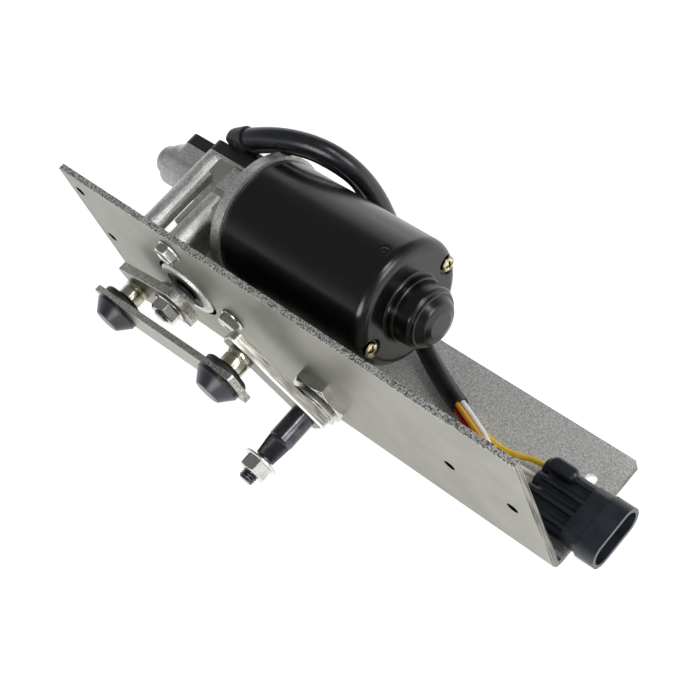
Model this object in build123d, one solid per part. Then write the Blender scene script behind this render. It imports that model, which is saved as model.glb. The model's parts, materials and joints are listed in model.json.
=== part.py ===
from build123d import *
import math
import os

# Wiper motor on its folded bracket, in millimetres. +X runs along the bracket towards the connector,
# +Y runs back from the front flange, +Z is up. The origin is the centre of the base flange's underside.
# Names ending in _X are measured from the bracket's left end, names ending in _Y from its front face.

# Bracket
BRACKET_LENGTH = 275.0
BRACKET_HEIGHT = 95.2
BRACKET_DEPTH = 59.0
SHEET = 3.2
BEND_INSIDE = 1.8
BASE_CORNER = 2.0
MOUNT_HOLE_R = 2.8
LEFT_HOLE_X = 7.8
LEFT_HOLE_DROP = 12.5
MOUNT_HOLE_Z = 46.0
RIGHT_HOLE_INSET = 12.3
RIGHT_HOLE_PITCH = 33.3
BASE_HOLE_Y = 41.0

# Output shaft, its boss and the crank
OUTPUT_X = 65.0
OUTPUT_Z = 46.0
OUTPUT_SHAFT_R = 5.0
OUTPUT_TAPER_R = 4.4
BOSS_R = 16.2
BOSS_PROUD = 1.5
BOSS_HOLE_GAP = 1.8
SEAL_R = 11.5
SEAL_DEPTH = 3.5
BUSH_WALL = 3.0
RUNNING_GAP = 0.04
CRANK_GAP = 7.3
CRANK_T = 4.7
CRANK_RADIUS = 28.5
CRANK_ANGLE = 194.0
CRANK_WIDTH = 23.0
CRANK_END = 7.6
CRANK_HUB = 13.6
STUD_R = 6.4
BODY_GAP = 0.3
THREAD_R = 3.9
NUT_FLANGE_R = 9.0
NUT_FLANGE_T = 1.3
NUT_FLATS = 13.0

# Wiper shaft, lever and pivot housing
PIVOT_X = 149.5
PIVOT_Z = 29.0
PIVOT_NUT_FLATS = 27.0
PIVOT_NUT_T = 5.5
PIVOT_THREAD_R = 9.9
PIVOT_BARREL_R = 10.5
PIVOT_FLANGE_R = 16.0
PIVOT_FLANGE_T = 3.2
PIVOT_LENGTH = 36.0
WIPER_SHAFT_R = 6.0
WIPER_SHOULDER = 29.5
WIPER_TAPER_END = 40.0
WIPER_TAPER_R = 4.6
WIPER_TIP = 53.0
WIPER_NUT_SEAT = 41.6
WASHER_T = 0.8
WASHER_RADII = (10.5, 12.6, 11.2)
LEVER_GAP = 9.0
LEVER_T = 5.0
LEVER_RADIUS = 38.3
LEVER_ANGLE = 136.0
LEVER_HALF_WIDTH = 8.0
LEVER_STUD_END = 10.5
LEVER_HUB_END = 9.5

# Link between the two ball studs
LINK_T = 3.2
LINK_HALF_WIDTH = 9.0
LINK_OVERHANG = 14.0
LINK_BACK_AT_CRANK = 23.3
LINK_BACK_AT_LEVER = 25.6
BALL_R = 5.4
BALL_NECK_R = 4.0
CAP_R = 11.3
CAP_RIM = 1.8
CAP_TOP_R = 6.3
CAP_HEIGHT = 8.0
BOOT_T = 2.6

# Motor
MOTOR_Y = 40.7
MOTOR_Z = 70.7
CAN_START_X = 94.0
CAN_LENGTH = 86.0
CAN_R = 30.0
CAN_WALL = 1.8
CAN_SHOULDER = 5.0
CAN_STEP_R = 15.0
CAN_STEP_LENGTH = 8.5
CAN_NOSE_R = 11.0
CAN_NOSE_LENGTH = 9.0
CAN_SCREW_INSET = 4.9
CAN_SCREW_R = 1.9
CAN_SCREW_HEAD_R = 3.6
CAN_SCREW_HEAD_T = 2.2
SHAFT_R = 4.0
BEARING_R = 7.0
MAGNET_T = 5.0
MAGNET_OVERHANG = 3.0
AIR_GAP = 0.6
CORE_START = 21.0
CORE_LENGTH = 46.0
END_TURN = 6.0
END_TURN_DROP = 2.5
CORE_SLOTS = 12
COMMUTATOR_R = 10.5
COMMUTATOR_START = 2.2
COMMUTATOR_LENGTH = 12.3
SEGMENT_GAP = 0.5
SEGMENT_DEPTH = 0.6
BRUSH = 5.0
BRUSH_LENGTH = 8.0
BRUSH_SPRING_LENGTH = 5.0

# Worm drive: one-start worm on the motor shaft over the wheel on the output shaft
WHEEL_TEETH = 60
WHEEL_PITCH_R = 20.2
WHEEL_FACE = 9.0
TOOTH_DEPTH = 1.0
WORM_TURNS = 8
WORM_TIP_GAP = 0.35

# Gear housing
CASE_FRONT_Y = 26.0
CASE_BACK_Y = 49.2
CASE_WALL = 3.6
CHAMBER_CLEAR = 1.6
CHAMBER_FRONT_Y = 31.0
DRUM_LUG_R = 5.0
GASKET_T = 0.8
COVER_T = 5.3
COVER_HUMP_X = (57.0, 83.0)
COVER_HUMP_T = 6.0
COVER_SCREW_R = 1.7
COVER_SCREW_BITE = 7.0
LUG_ANGLES = (195, 235, 277, 320)
RING_CLEAR = 0.4
WORM_TUBE_R = 10.3
WORM_BORE_R = 6.6
HOUSING_LEFT_X = 28.0
KNOB_R = 7.3
KNOB_LENGTH = 8.0
NECK_START_X = 66.0
NECK_START_R = 14.5
NECK_UNDER_RING = 2.2
RING_OVER_CAN = 1.7
RING_T = 5.0
POST_R = 5.5
TOWER_X = 56.5
TOWER_Z = 84.2
TOWER_R = 5.3
BLOCK_TOP_Z = 89.5
BLOCK_LEFT_X = 53.0
BLOCK_RIGHT_X = 84.0
BLOCK_ROUND = 13.0
BLOCK_STEP = 2.2
BLOCK_TAB = 5.0
LOBE_TOP_Z = 81.0
LOBE_LEFT_X = 29.6
BOLTS = ((73.9, 83.2), (97.0, 46.0), (39.7, 23.3))
POST_B_BACK_Y = 17.3
RIB_T = 5.0
BOLT_R = 3.0
BOLT_CLEAR = 0.3
BOLT_FLANGE_R = 6.3
BOLT_FLANGE_T = 1.2
BOLT_FLATS = 10.0
BOLT_HEAD = 4.8
BOLT_DEPTH = 12.0

# Cable and connector
SLEEVE_R = 4.5
SLEEVE_POCKET_R = 3.75
SLEEVE_POCKET = 6.0
HOSE_R = 1.7
WIRE_R = 1.25
CONNECTOR_Y = 23.0
CONNECTOR_WIDTH = 31.0
CONNECTOR_HEIGHT = 15.0
CONNECTOR_MOUTH_X = 290.5
COLLAR_X = 281.0
BAND_X = 272.5
BAND_STEP = 0.9
CONNECTOR_BACK_X = 247.0
CONNECTOR_WALL = 2.0
MOUTH_DEPTH = 13.0
CAVITY_PITCH = 6.7
CAVITY_R = 2.5
CAVITY_DEPTH = 9.0
SEAL_LENGTH = 6.0
LATCH_LENGTH = 14.0
LATCH_WIDTH = 6.5
LATCH_TOP = 9.8

# Places worked out from the sizes above
LEFT = -BRACKET_LENGTH / 2
FACE = -BRACKET_DEPTH / 2
BACK_OF_SHEET = FACE + SHEET
OX = LEFT + OUTPUT_X
PX = LEFT + PIVOT_X
MY = FACE + MOTOR_Y
RIGHT_HOLES = [LEFT + BRACKET_LENGTH - RIGHT_HOLE_INSET - i * RIGHT_HOLE_PITCH for i in (1, 0)]
CAN_SCREW_RADIUS = CAN_R - CAN_SCREW_INSET
RING_R = CAN_R + RING_OVER_CAN
CASE_NECK_R = RING_R - NECK_UNDER_RING
CAN_X = LEFT + CAN_START_X
CAN_END_X = CAN_X + CAN_LENGTH
CASE_FRONT = FACE + CASE_FRONT_Y
CASE_BACK = FACE + CASE_BACK_Y
COVER_FRONT = CASE_BACK + GASKET_T
COVER_BACK = COVER_FRONT + COVER_T
CHAMBER_FRONT = FACE + CHAMBER_FRONT_Y
BOSS_FRONT = FACE - BOSS_PROUD
CRANK_BACK = FACE - CRANK_GAP
CRANK_FRONT = CRANK_BACK - CRANK_T
LEVER_BACK = FACE - LEVER_GAP
LEVER_FRONT = LEVER_BACK - LEVER_T
WHEEL_TIP_R = WHEEL_PITCH_R + TOOTH_DEPTH / 2
CHAMBER_R = WHEEL_TIP_R + CHAMBER_CLEAR
DRUM_R = CHAMBER_R + CASE_WALL
BUSH_R = OUTPUT_SHAFT_R + BUSH_WALL
WORM_PITCH = 2 * math.pi * WHEEL_PITCH_R / WHEEL_TEETH
WORM_TIP_R = MOTOR_Z - OUTPUT_Z - WHEEL_PITCH_R + TOOTH_DEPTH / 2
CONNECTOR_Z = SHEET + CONNECTOR_HEIGHT / 2
WIRES_Y = [FACE + CONNECTOR_Y + (i - 1.5) * CAVITY_PITCH for i in range(4)]


def on_circle(x, z, radius, degrees):
    """The point of the XZ plane at this radius and angle from (x, z)."""
    a = math.radians(degrees)
    return x + radius * math.cos(a), z + radius * math.sin(a)


CRANK_STUD = on_circle(OX, OUTPUT_Z, CRANK_RADIUS, CRANK_ANGLE)
LEVER_STUD = on_circle(PX, PIVOT_Z, LEVER_RADIUS, LEVER_ANGLE)
LINK_SPAN = math.dist(CRANK_STUD, LEVER_STUD)


def slab(outline, front, back):
    """A drawing in X and Z made solid between two Y places."""
    plane = Plane(origin=(0, back, 0), x_dir=(1, 0, 0), z_dir=(0, -1, 0))
    return extrude(plane * outline, amount=back - front)


def rod_y(x, z, radius, front, back):
    return slab(Pos(x, z) * Circle(radius), front, back)


def hex_y(x, z, flats, front, back, turn=0):
    hexagon = RegularPolygon(flats / math.sqrt(3), 6, rotation=turn)
    return slab(Pos(x, z) * hexagon, front, back)


def cone_y(x, z, front_r, back_r, front, back):
    plane = Plane(origin=(x, back, z), x_dir=(1, 0, 0), z_dir=(0, -1, 0))
    profile = Polyline((0, 0), (back_r, 0), (front_r, back - front), (0, back - front), close=True)
    turned = revolve(Plane.XZ * make_face(profile), Axis.Z)
    return plane * turned


def section_x(outline, left, right):
    """A drawing in Y and Z made solid between two X places."""
    plane = Plane(origin=(left, 0, 0), x_dir=(0, 1, 0), z_dir=(1, 0, 0))
    return extrude(plane * outline, amount=right - left)


def rod_x(y, z, radius, left, right):
    return section_x(Pos(y, z) * Circle(radius), left, right)


def block(left, right, front, back, low, high):
    centre = ((left + right) / 2, (front + back) / 2, (low + high) / 2)
    return Pos(*centre) * Box(right - left, back - front, high - low)


def turned_x(points, y, z):
    """A solid of revolution about the line along X through (y, z), from (x, radius) points."""
    return Pos(0, y, z) * revolve(make_face(Polyline(*points, close=True)), Axis.X)


def turned_to_ball(points, neck, ball, centre):
    """A solid of revolution about Z: the given (radius, height) points, then a neck and a ball."""
    foot = centre - math.sqrt(ball**2 - neck**2)
    start = (0, points[0][1])
    sides = Polyline(start, *points, (neck, foot)).edges()
    round_side = ThreePointArc((neck, foot), (ball, centre), (0, centre + ball))
    return revolve(Plane.XZ * make_face([*sides, round_side, Line((0, centre + ball), start)]), Axis.Z)


def flange_nut(x, z, seat, height, bore):
    """A hexagon nut with a round flange: its flange lies on the plane y = seat and it stands forward."""
    flange = cone_y(x, z, NUT_FLANGE_R - 1.0, NUT_FLANGE_R, seat - NUT_FLANGE_T, seat)
    body = hex_y(x, z, NUT_FLATS, seat - height, seat - NUT_FLANGE_T, 30)
    return flange + body - rod_y(x, z, bore, seat - height, seat)


def cord(points, radius, name):
    """A round cord: straight runs joined by tangent arcs as large as the two runs allow."""
    turns = []
    for a, b, c in zip(points, points[1:], points[2:]):
        before, after = Vector(*b) - Vector(*a), Vector(*c) - Vector(*b)
        turn = math.radians(before.get_angle(after))
        turns.append(0.45 * min(before.length, after.length) / math.tan(turn / 2))
    path = FilletPolyline(*points, radius=turns)
    start = Plane(origin=path @ 0, z_dir=path % 0)
    solid = sweep(start * Circle(radius), path=path)
    share = solid.volume / (math.pi * radius**2 * path.length)
    print(name, "length", round(path.length, 1), "share", round(share, 4), [round(r, 1) for r in turns])
    return solid


# Bracket

def mounting_bracket():
    back = FACE + BRACKET_DEPTH
    corners = [(FACE, 0), (back, 0), (back, SHEET), (BACK_OF_SHEET, SHEET)]
    corners += [(BACK_OF_SHEET, BRACKET_HEIGHT), (FACE, BRACKET_HEIGHT)]
    angle = make_face(Polyline(*corners, close=True))
    outside = [v for v in angle.vertices() if abs(v.X - FACE) < 0.01 and abs(v.Y) < 0.01]
    angle = fillet(outside, BEND_INSIDE + SHEET)
    inside = [v for v in angle.vertices() if abs(v.X - BACK_OF_SHEET) < 0.01 and abs(v.Y - SHEET) < 0.01]
    angle = fillet(inside, BEND_INSIDE)
    sheet = section_x(angle, LEFT, LEFT + BRACKET_LENGTH)
    rear = [e for e in sheet.edges().filter_by(Axis.Z) if abs(e.center().Y - back) < 0.01]
    sheet = chamfer(rear, BASE_CORNER)
    holes = [(LEFT + LEFT_HOLE_X, z) for z in (BRACKET_HEIGHT - LEFT_HOLE_DROP, MOUNT_HOLE_Z)]
    holes += [(x, MOUNT_HOLE_Z) for x in RIGHT_HOLES]
    for x, z in holes:
        sheet -= rod_y(x, z, MOUNT_HOLE_R, FACE, BACK_OF_SHEET)
    for x, z in BOLTS:
        sheet -= rod_y(LEFT + x, z, BOLT_R + BOLT_CLEAR, FACE, BACK_OF_SHEET)
    sheet -= rod_y(OX, OUTPUT_Z, BOSS_R + BOSS_HOLE_GAP, FACE, BACK_OF_SHEET)
    sheet -= rod_y(PX, PIVOT_Z, PIVOT_THREAD_R, FACE, BACK_OF_SHEET)
    sheet -= Pos(RIGHT_HOLES[1], FACE + BASE_HOLE_Y, SHEET / 2) * Cylinder(MOUNT_HOLE_R, SHEET)
    return sheet


def housing_bolts():
    bolts = []
    for x, z in BOLTS:
        x += LEFT
        head = cone_y(x, z, BOLT_FLANGE_R - 0.7, BOLT_FLANGE_R, FACE - BOLT_FLANGE_T, FACE)
        head += hex_y(x, z, BOLT_FLATS, FACE - BOLT_HEAD, FACE - BOLT_FLANGE_T, 30)
        bolts.append(head + rod_y(x, z, BOLT_R, FACE, BACK_OF_SHEET + BOLT_DEPTH))
    return bolts


# Gear housing and what is fixed to it

def cover_lugs():
    """Centres of the screw lugs round the lower half of the drum."""
    return [on_circle(OX, OUTPUT_Z, DRUM_R + 1.0, a) for a in LUG_ANGLES]


def cover_screw_places():
    return cover_lugs() + [(LEFT + TOWER_X, TOWER_Z), (LEFT + BLOCK_RIGHT_X - 4.5, BLOCK_TOP_Z - 4.5)]


def case_outline():
    """The outline that the case, the gasket and the cover share."""
    outline = Pos(OX, OUTPUT_Z) * Circle(DRUM_R)
    lobe_right, lobe_low = LEFT + BLOCK_LEFT_X + 6, MOTOR_Z - WORM_TUBE_R
    lobe = Rectangle(lobe_right - LEFT - LOBE_LEFT_X, LOBE_TOP_Z - lobe_low)
    lobe = fillet(lobe.vertices().group_by(Axis.X)[0], 5.0)
    outline += Pos((lobe_right + LEFT + LOBE_LEFT_X) / 2, (LOBE_TOP_Z + lobe_low) / 2) * lobe
    wide, tall = BLOCK_RIGHT_X - BLOCK_LEFT_X, BLOCK_TOP_Z - OUTPUT_Z
    top = Rectangle(wide, tall)
    top = fillet(top.vertices().group_by(Axis.Y)[-1], 4.0)
    outline += Pos(LEFT + (BLOCK_RIGHT_X + BLOCK_LEFT_X) / 2, OUTPUT_Z + tall / 2) * top
    outline += Pos(LEFT + TOWER_X, TOWER_Z) * Circle(TOWER_R)
    for x, z in cover_lugs():
        outline += Pos(x, z) * Circle(DRUM_LUG_R)
    low, right = MOTOR_Z - RING_R - RING_CLEAR, CAN_X - RING_T - RING_CLEAR
    beside_ring = Pos(right + 10, low + 50) * Rectangle(20, 100)
    return outline - beside_ring


def bolt_posts():
    """Posts from the bracket to the case, each tied to the output boss by a rib."""
    backs = (CASE_FRONT + 6, FACE + POST_B_BACK_Y, CASE_FRONT + 4)
    posts = []
    for (x, z), back in zip(BOLTS, backs):
        x += LEFT
        posts.append(rod_y(x, z, POST_R, BACK_OF_SHEET, back))
        reach, lean = math.dist((x, z), (OX, OUTPUT_Z)), math.degrees(math.atan2(z - OUTPUT_Z, x - OX))
        rib = Pos(OX, OUTPUT_Z) * Rot(0, 0, lean) * Pos(reach / 2, 0) * Rectangle(reach, RIB_T)
        posts.append(slab(rib, BACK_OF_SHEET + 2, min(back, CASE_FRONT)))
    posts.append(rod_y(LEFT + TOWER_X, TOWER_Z, TOWER_R, BACK_OF_SHEET, CASE_BACK))
    return posts


def gear_housing():
    ring_x = CAN_X - RING_T
    left = LEFT + HOUSING_LEFT_X
    body = slab(Pos(OX, OUTPUT_Z) * Circle(DRUM_R), CASE_FRONT, CASE_BACK)
    for x, z in cover_lugs():
        body += rod_y(x, z, DRUM_LUG_R, CASE_BACK - 12, CASE_BACK)
    body += slab(case_outline(), CASE_BACK - 9, CASE_BACK)
    shelf_left, shelf_right = LEFT + BLOCK_LEFT_X + 9, LEFT + BLOCK_RIGHT_X
    shelf = block(shelf_left, shelf_right, CASE_FRONT + 8, CASE_BACK, MOTOR_Z, BLOCK_TOP_Z)
    corner = shelf.edges().filter_by(Axis.Z).sort_by(lambda e: e.center().X + e.center().Y)[0]
    shelf = fillet(corner, BLOCK_ROUND)
    step_right, step_back = shelf_right - BLOCK_TAB, CASE_BACK - 4.5
    shelf -= block(shelf_left, step_right, CASE_FRONT + 8, step_back, BLOCK_TOP_Z - BLOCK_STEP, BLOCK_TOP_Z)
    body += shelf
    body += rod_x(MY, MOTOR_Z, WORM_TUBE_R, left, ring_x)
    neck_x = LEFT + NECK_START_X
    neck = [(neck_x, 0), (neck_x, NECK_START_R), (ring_x, CASE_NECK_R), (ring_x, 0)]
    above = block(neck_x, ring_x, MY - RING_R, MY + RING_R, BLOCK_TOP_Z - BLOCK_STEP, MOTOR_Z + RING_R)
    body += turned_x(neck, MY, MOTOR_Z) - above
    body -= block(left - 1, ring_x, CASE_BACK, MY + RING_R, 0, MOTOR_Z + RING_R)
    body += rod_x(MY, MOTOR_Z, RING_R, ring_x, CAN_X)
    knob = rod_x(MY, MOTOR_Z, KNOB_R, left - KNOB_LENGTH, left + 2)
    body += fillet(knob.edges().sort_by(Axis.X)[0], 3.0)
    boss = rod_y(OX, OUTPUT_Z, BOSS_R, BOSS_FRONT, CASE_FRONT)
    body += chamfer(boss.edges().sort_by(Axis.Y)[0], 1.2)
    for post in bolt_posts():
        body += post
    low_x, high_x = LEFT + BOLTS[0][0] - 8, LEFT + BOLTS[0][0] - 5
    body += block(low_x, high_x, FACE + 12, CASE_FRONT + 10, MOTOR_Z, TOWER_Z + 2)
    return body - housing_hollows(ring_x, left)


def housing_hollows(ring_x, left):
    """The wheel chamber, worm bore, bush and seal seats and the screw holes, as one tool."""
    tool = rod_y(OX, OUTPUT_Z, CHAMBER_R, CHAMBER_FRONT, CASE_BACK)
    tool += rod_x(MY, MOTOR_Z, WORM_BORE_R, left + 4, CAN_X - 2)
    tool += rod_x(MY, MOTOR_Z, SHAFT_R + 0.4, left - 4, left + 5)
    tool += rod_x(MY, MOTOR_Z, CAN_R - 4, CAN_X - 2, CAN_X)
    tool += rod_x(MY, MOTOR_Z, BEARING_R, ring_x - 6, CAN_X - 1)
    tool += rod_y(OX, OUTPUT_Z, BUSH_R, BOSS_FRONT, CHAMBER_FRONT + 1)
    tool += rod_y(OX, OUTPUT_Z, SEAL_R, BOSS_FRONT, BOSS_FRONT + SEAL_DEPTH)
    for x, z in BOLTS:
        tool += rod_y(LEFT + x, z, BOLT_R, BACK_OF_SHEET, BACK_OF_SHEET + BOLT_DEPTH)
    for x, z in cover_screw_places():
        tool += rod_y(x, z, COVER_SCREW_R, CASE_BACK - COVER_SCREW_BITE, CASE_BACK)
    for side in (-1, 1):
        tool += rod_x(MY + side * CAN_SCREW_RADIUS, MOTOR_Z, CAN_SCREW_R, ring_x, CAN_X)
    return tool


def cover_gasket():
    gasket = slab(case_outline(), CASE_BACK, COVER_FRONT)
    gasket -= rod_y(OX, OUTPUT_Z, CHAMBER_R, CASE_BACK, COVER_FRONT)
    for x, z in cover_screw_places():
        gasket -= rod_y(x, z, COVER_SCREW_R, CASE_BACK, COVER_FRONT)
    return gasket


def gear_cover():
    cover = slab(case_outline(), COVER_FRONT, COVER_BACK)
    left, right = (LEFT + x for x in COVER_HUMP_X)
    cover += block(left, right, COVER_BACK - 1, COVER_BACK + COVER_HUMP_T, MOTOR_Z + 1, BLOCK_TOP_Z - 6)
    cover -= rod_y(OX, OUTPUT_Z, CHAMBER_R, COVER_FRONT, COVER_FRONT + 2.8)
    for x, z in cover_screw_places():
        cover -= rod_y(x, z, COVER_SCREW_R, COVER_FRONT, COVER_BACK + COVER_HUMP_T)
        cover -= rod_y(x, z, COVER_SCREW_R * 2.2, COVER_BACK - 1.5, COVER_BACK + COVER_HUMP_T)
    return cover


def cover_screws():
    screws = []
    for x, z in cover_screw_places():
        head = rod_y(x, z, COVER_SCREW_R * 1.9, COVER_BACK - 1.5, COVER_BACK + 0.7)
        screws.append(head + rod_y(x, z, COVER_SCREW_R, CASE_BACK - COVER_SCREW_BITE, COVER_BACK - 1.5))
    return screws


def cover_clip():
    """A bent spring clip over the cover's right edge."""
    x, low, high, t = LEFT + BLOCK_RIGHT_X, BLOCK_TOP_Z - 11, BLOCK_TOP_Z - 5.5, 0.7
    clip = block(x, x + t, CASE_BACK, COVER_BACK + t, low, high)
    clip += block(x - 1.0, x + t, COVER_BACK, COVER_BACK + t, low, high)
    clip += block(x, x + 2.4, CASE_BACK, CASE_BACK + t, low, high)
    return clip


def park_plate():
    back = COVER_FRONT + 2.8
    plate = rod_y(OX, OUTPUT_Z, CHAMBER_R, back - 1.2, back)
    return plate - rod_y(OX, OUTPUT_Z, OUTPUT_SHAFT_R + 2, back - 1.2, back)


def park_contacts():
    """Three leaf springs that reach from the contact plate towards the wheel."""
    back = COVER_FRONT + 1.6
    fingers = []
    for radius in (10.0, 13.5, 17.0):
        x, z = OX - radius, OUTPUT_Z
        leaf = block(x - 1.2, x + 1.2, back - 0.3, back, z - 6, z + 6)
        leaf += block(x - 0.8, x + 0.8, back - 1.5, back, z + 4, z + 6)
        fingers.append(leaf)
    return fingers


def output_bush():
    front = BOSS_FRONT + SEAL_DEPTH
    bush = rod_y(OX, OUTPUT_Z, BUSH_R, front, CHAMBER_FRONT)
    return bush - rod_y(OX, OUTPUT_Z, OUTPUT_SHAFT_R + RUNNING_GAP, front, CHAMBER_FRONT)


def output_seal():
    back = BOSS_FRONT + SEAL_DEPTH
    seal = rod_y(OX, OUTPUT_Z, SEAL_R, BOSS_FRONT + 0.4, back)
    seal += cone_y(OX, OUTPUT_Z, SEAL_R - 3, SEAL_R - 1.6, BOSS_FRONT - 0.6, BOSS_FRONT + 0.4)
    return seal - rod_y(OX, OUTPUT_Z, OUTPUT_SHAFT_R + BODY_GAP, BOSS_FRONT - 1, back)


def thrust_ball():
    x = LEFT + HOUSING_LEFT_X - 4
    return Pos(x + SHAFT_R - 0.9, MY, MOTOR_Z) * Sphere(SHAFT_R - 0.9)


def front_bearing():
    left, right = CAN_X - RING_T - 6, CAN_X - 3.5
    ring = rod_x(MY, MOTOR_Z, BEARING_R, left, right)
    return ring - rod_x(MY, MOTOR_Z, SHAFT_R + RUNNING_GAP, left, right)


# Motor

def can_profile(inset):
    """Radius steps of the drawn can, moved in by the wall for its inside."""
    end = CAN_END_X - inset
    nose = end + CAN_STEP_LENGTH + CAN_NOSE_LENGTH
    points = [(CAN_X, 0), (CAN_X, CAN_R - inset), (end, CAN_R - inset), (end, CAN_STEP_R - inset)]
    points += [(end + CAN_STEP_LENGTH, CAN_STEP_R - inset), (end + CAN_STEP_LENGTH, CAN_NOSE_R - inset)]
    return points + [(nose, CAN_NOSE_R - inset), (nose, 0)]


def rounded_can(inset):
    shape = turned_x(can_profile(inset), MY, MOTOR_Z)
    rims = shape.edges().filter_by(GeomType.CIRCLE)
    shoulder = [e for e in rims if abs(e.center().X - (CAN_END_X - inset)) < 0.01 and e.radius > CAN_R - 3]
    shape = fillet(shoulder, CAN_SHOULDER - inset)
    rims = shape.edges().filter_by(GeomType.CIRCLE)
    steps = [e for e in rims if e.center().X > CAN_END_X - inset + 1 and e.radius > 7]
    outer = [e for e in steps if abs(e.radius - CAN_STEP_R + inset) < 0.01 or e.center().X > CAN_END_X + 14]
    return fillet(outer, 1.6 if inset else 2.4)


def motor_can():
    can = rounded_can(0) - rounded_can(CAN_WALL)
    for side in (-1, 1):
        y = MY + side * CAN_SCREW_RADIUS
        can -= rod_x(y, MOTOR_Z, CAN_SCREW_R, CAN_END_X - 6, CAN_END_X + 1)
        can -= rod_x(y, MOTOR_Z, CAN_SCREW_HEAD_R, CAN_END_X - 0.5, CAN_END_X + 3)
    return can


def can_screws():
    screws = []
    for side in (-1, 1):
        y, seat = MY + side * CAN_SCREW_RADIUS, CAN_END_X - 0.5
        head = rod_x(y, MOTOR_Z, CAN_SCREW_HEAD_R, seat, seat + CAN_SCREW_HEAD_T)
        head = fillet(head.edges().sort_by(Axis.X)[-1], 1.1)
        screws.append(head + rod_x(y, MOTOR_Z, CAN_SCREW_R, CAN_X - RING_T, seat))
    return screws


def magnets():
    """Two arc magnets against the can, above and below the armature."""
    outer = CAN_R - CAN_WALL
    left = CAN_X + CORE_START - MAGNET_OVERHANG
    right = left + CORE_LENGTH + 2 * MAGNET_OVERHANG
    tube = rod_x(MY, MOTOR_Z, outer, left, right) - rod_x(MY, MOTOR_Z, outer - MAGNET_T, left, right)
    half = math.radians(62)
    arcs = []
    for side in (-1, 1):
        tall = 2 * CAN_R * side
        wide = 2 * CAN_R * math.tan(half)
        wedge = make_face(Polyline((0, 0), (-wide, tall), (wide, tall), close=True))
        arcs.append(tube & section_x(Pos(MY, MOTOR_Z) * wedge, left, right))
    return arcs


def end_bush():
    bore = CAN_NOSE_R - CAN_WALL
    right = CAN_END_X - CAN_WALL + CAN_STEP_LENGTH + CAN_NOSE_LENGTH - 2
    ring = rod_x(MY, MOTOR_Z, bore, right - 6, right)
    return ring - rod_x(MY, MOTOR_Z, SHAFT_R + RUNNING_GAP, right - 6, right)


def brush_plate():
    left, right = CAN_X + 1.5, CAN_X + 3.5
    plate = rod_x(MY, MOTOR_Z, CAN_R - CAN_WALL, left, right)
    plate -= rod_x(MY, MOTOR_Z, COMMUTATOR_R + 1.5, left, right)
    for side in (-1, 1):
        plate -= rod_x(MY + side * CAN_SCREW_RADIUS, MOTOR_Z, CAN_SCREW_R, left, right)
    return plate


def brush_places():
    return (45, 180, 315)


def brush_piece(inner, outer, wide, angle):
    """A block on the brush plate, between two radii, turned about the motor axis."""
    left = CAN_X + 3.5
    bar = Pos(left + wide / 2, 0, (inner + outer) / 2) * Box(wide, wide, outer - inner)
    return Pos(0, MY, MOTOR_Z) * Rot(angle, 0, 0) * bar


def brushes():
    return [brush_piece(COMMUTATOR_R + 0.05, COMMUTATOR_R + BRUSH_LENGTH, BRUSH, a) for a in brush_places()]


def brush_springs():
    inner = COMMUTATOR_R + BRUSH_LENGTH
    return [brush_piece(inner, inner + BRUSH_SPRING_LENGTH, BRUSH - 1.5, a) for a in brush_places()]


# Armature

def worm_thread(left):
    """One ridge wound round the worm, in the gaps of the wheel's teeth at rest."""
    length = WORM_TURNS * WORM_PITCH
    root = WORM_TIP_R - TOOTH_DEPTH - 0.1
    path = Helix(WORM_PITCH, length, root)
    top, foot, tall = 0.16, 0.34, WORM_TIP_R - WORM_TIP_GAP - root
    profile = Polyline((-0.15, -foot), (tall, -top), (tall, top), (-0.15, foot), close=True)
    plane = Plane(origin=path @ 0, x_dir=(1, 0, 0), z_dir=path % 0)
    ridge = sweep(plane * make_face(profile), path=path, is_frenet=True)
    along = Plane(origin=(left, MY, MOTOR_Z), x_dir=(0, 0, -1), z_dir=(1, 0, 0))
    return along * ridge


def armature_shaft():
    left = LEFT + HOUSING_LEFT_X - 4 + 2 * (SHAFT_R - 0.9)
    right = CAN_END_X - CAN_WALL + CAN_STEP_LENGTH + CAN_NOSE_LENGTH - 3
    shaft = rod_x(MY, MOTOR_Z, SHAFT_R, left, right)
    half = WORM_TURNS * WORM_PITCH / 2
    root = WORM_TIP_R - TOOTH_DEPTH - 0.1
    shaft += rod_x(MY, MOTOR_Z, root, OX - half - 2, OX + half + 2)
    return shaft + worm_thread(OX - half)


def armature_core():
    """Laminated core with its winding slots."""
    radius = CAN_R - CAN_WALL - MAGNET_T - AIR_GAP
    left = CAN_X + CORE_START
    slots = Circle(radius)
    for i in range(CORE_SLOTS):
        slots -= Rot(0, 0, i * 360 / CORE_SLOTS) * Pos(radius - 3, 0) * SlotOverall(7, 2.6)
    slots -= Circle(SHAFT_R)
    return section_x(Pos(MY, MOTOR_Z) * slots, left, left + CORE_LENGTH)


def armature_windings():
    """The end turns on both sides of the core."""
    radius = CAN_R - CAN_WALL - MAGNET_T - AIR_GAP - END_TURN_DROP
    left = CAN_X + CORE_START
    coils = []
    for start, end in ((left - END_TURN, left), (left + CORE_LENGTH, left + CORE_LENGTH + END_TURN)):
        ring = rod_x(MY, MOTOR_Z, radius, start, end)
        rim = ring.edges().sort_by(Axis.X)[0 if start < left else -1]
        coils.append(fillet(rim, 3.0) - rod_x(MY, MOTOR_Z, SHAFT_R, start, end))
    return coils


def commutator():
    left = CAN_X + COMMUTATOR_START
    drum = Circle(COMMUTATOR_R)
    for i in range(CORE_SLOTS):
        drum -= Rot(0, 0, i * 360 / CORE_SLOTS) * Pos(COMMUTATOR_R, 0) * Rectangle(2 * SEGMENT_DEPTH, SEGMENT_GAP)
    return section_x(Pos(MY, MOTOR_Z) * (drum - Circle(SHAFT_R)), left, left + COMMUTATOR_LENGTH)


# Output shaft and crank

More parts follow.
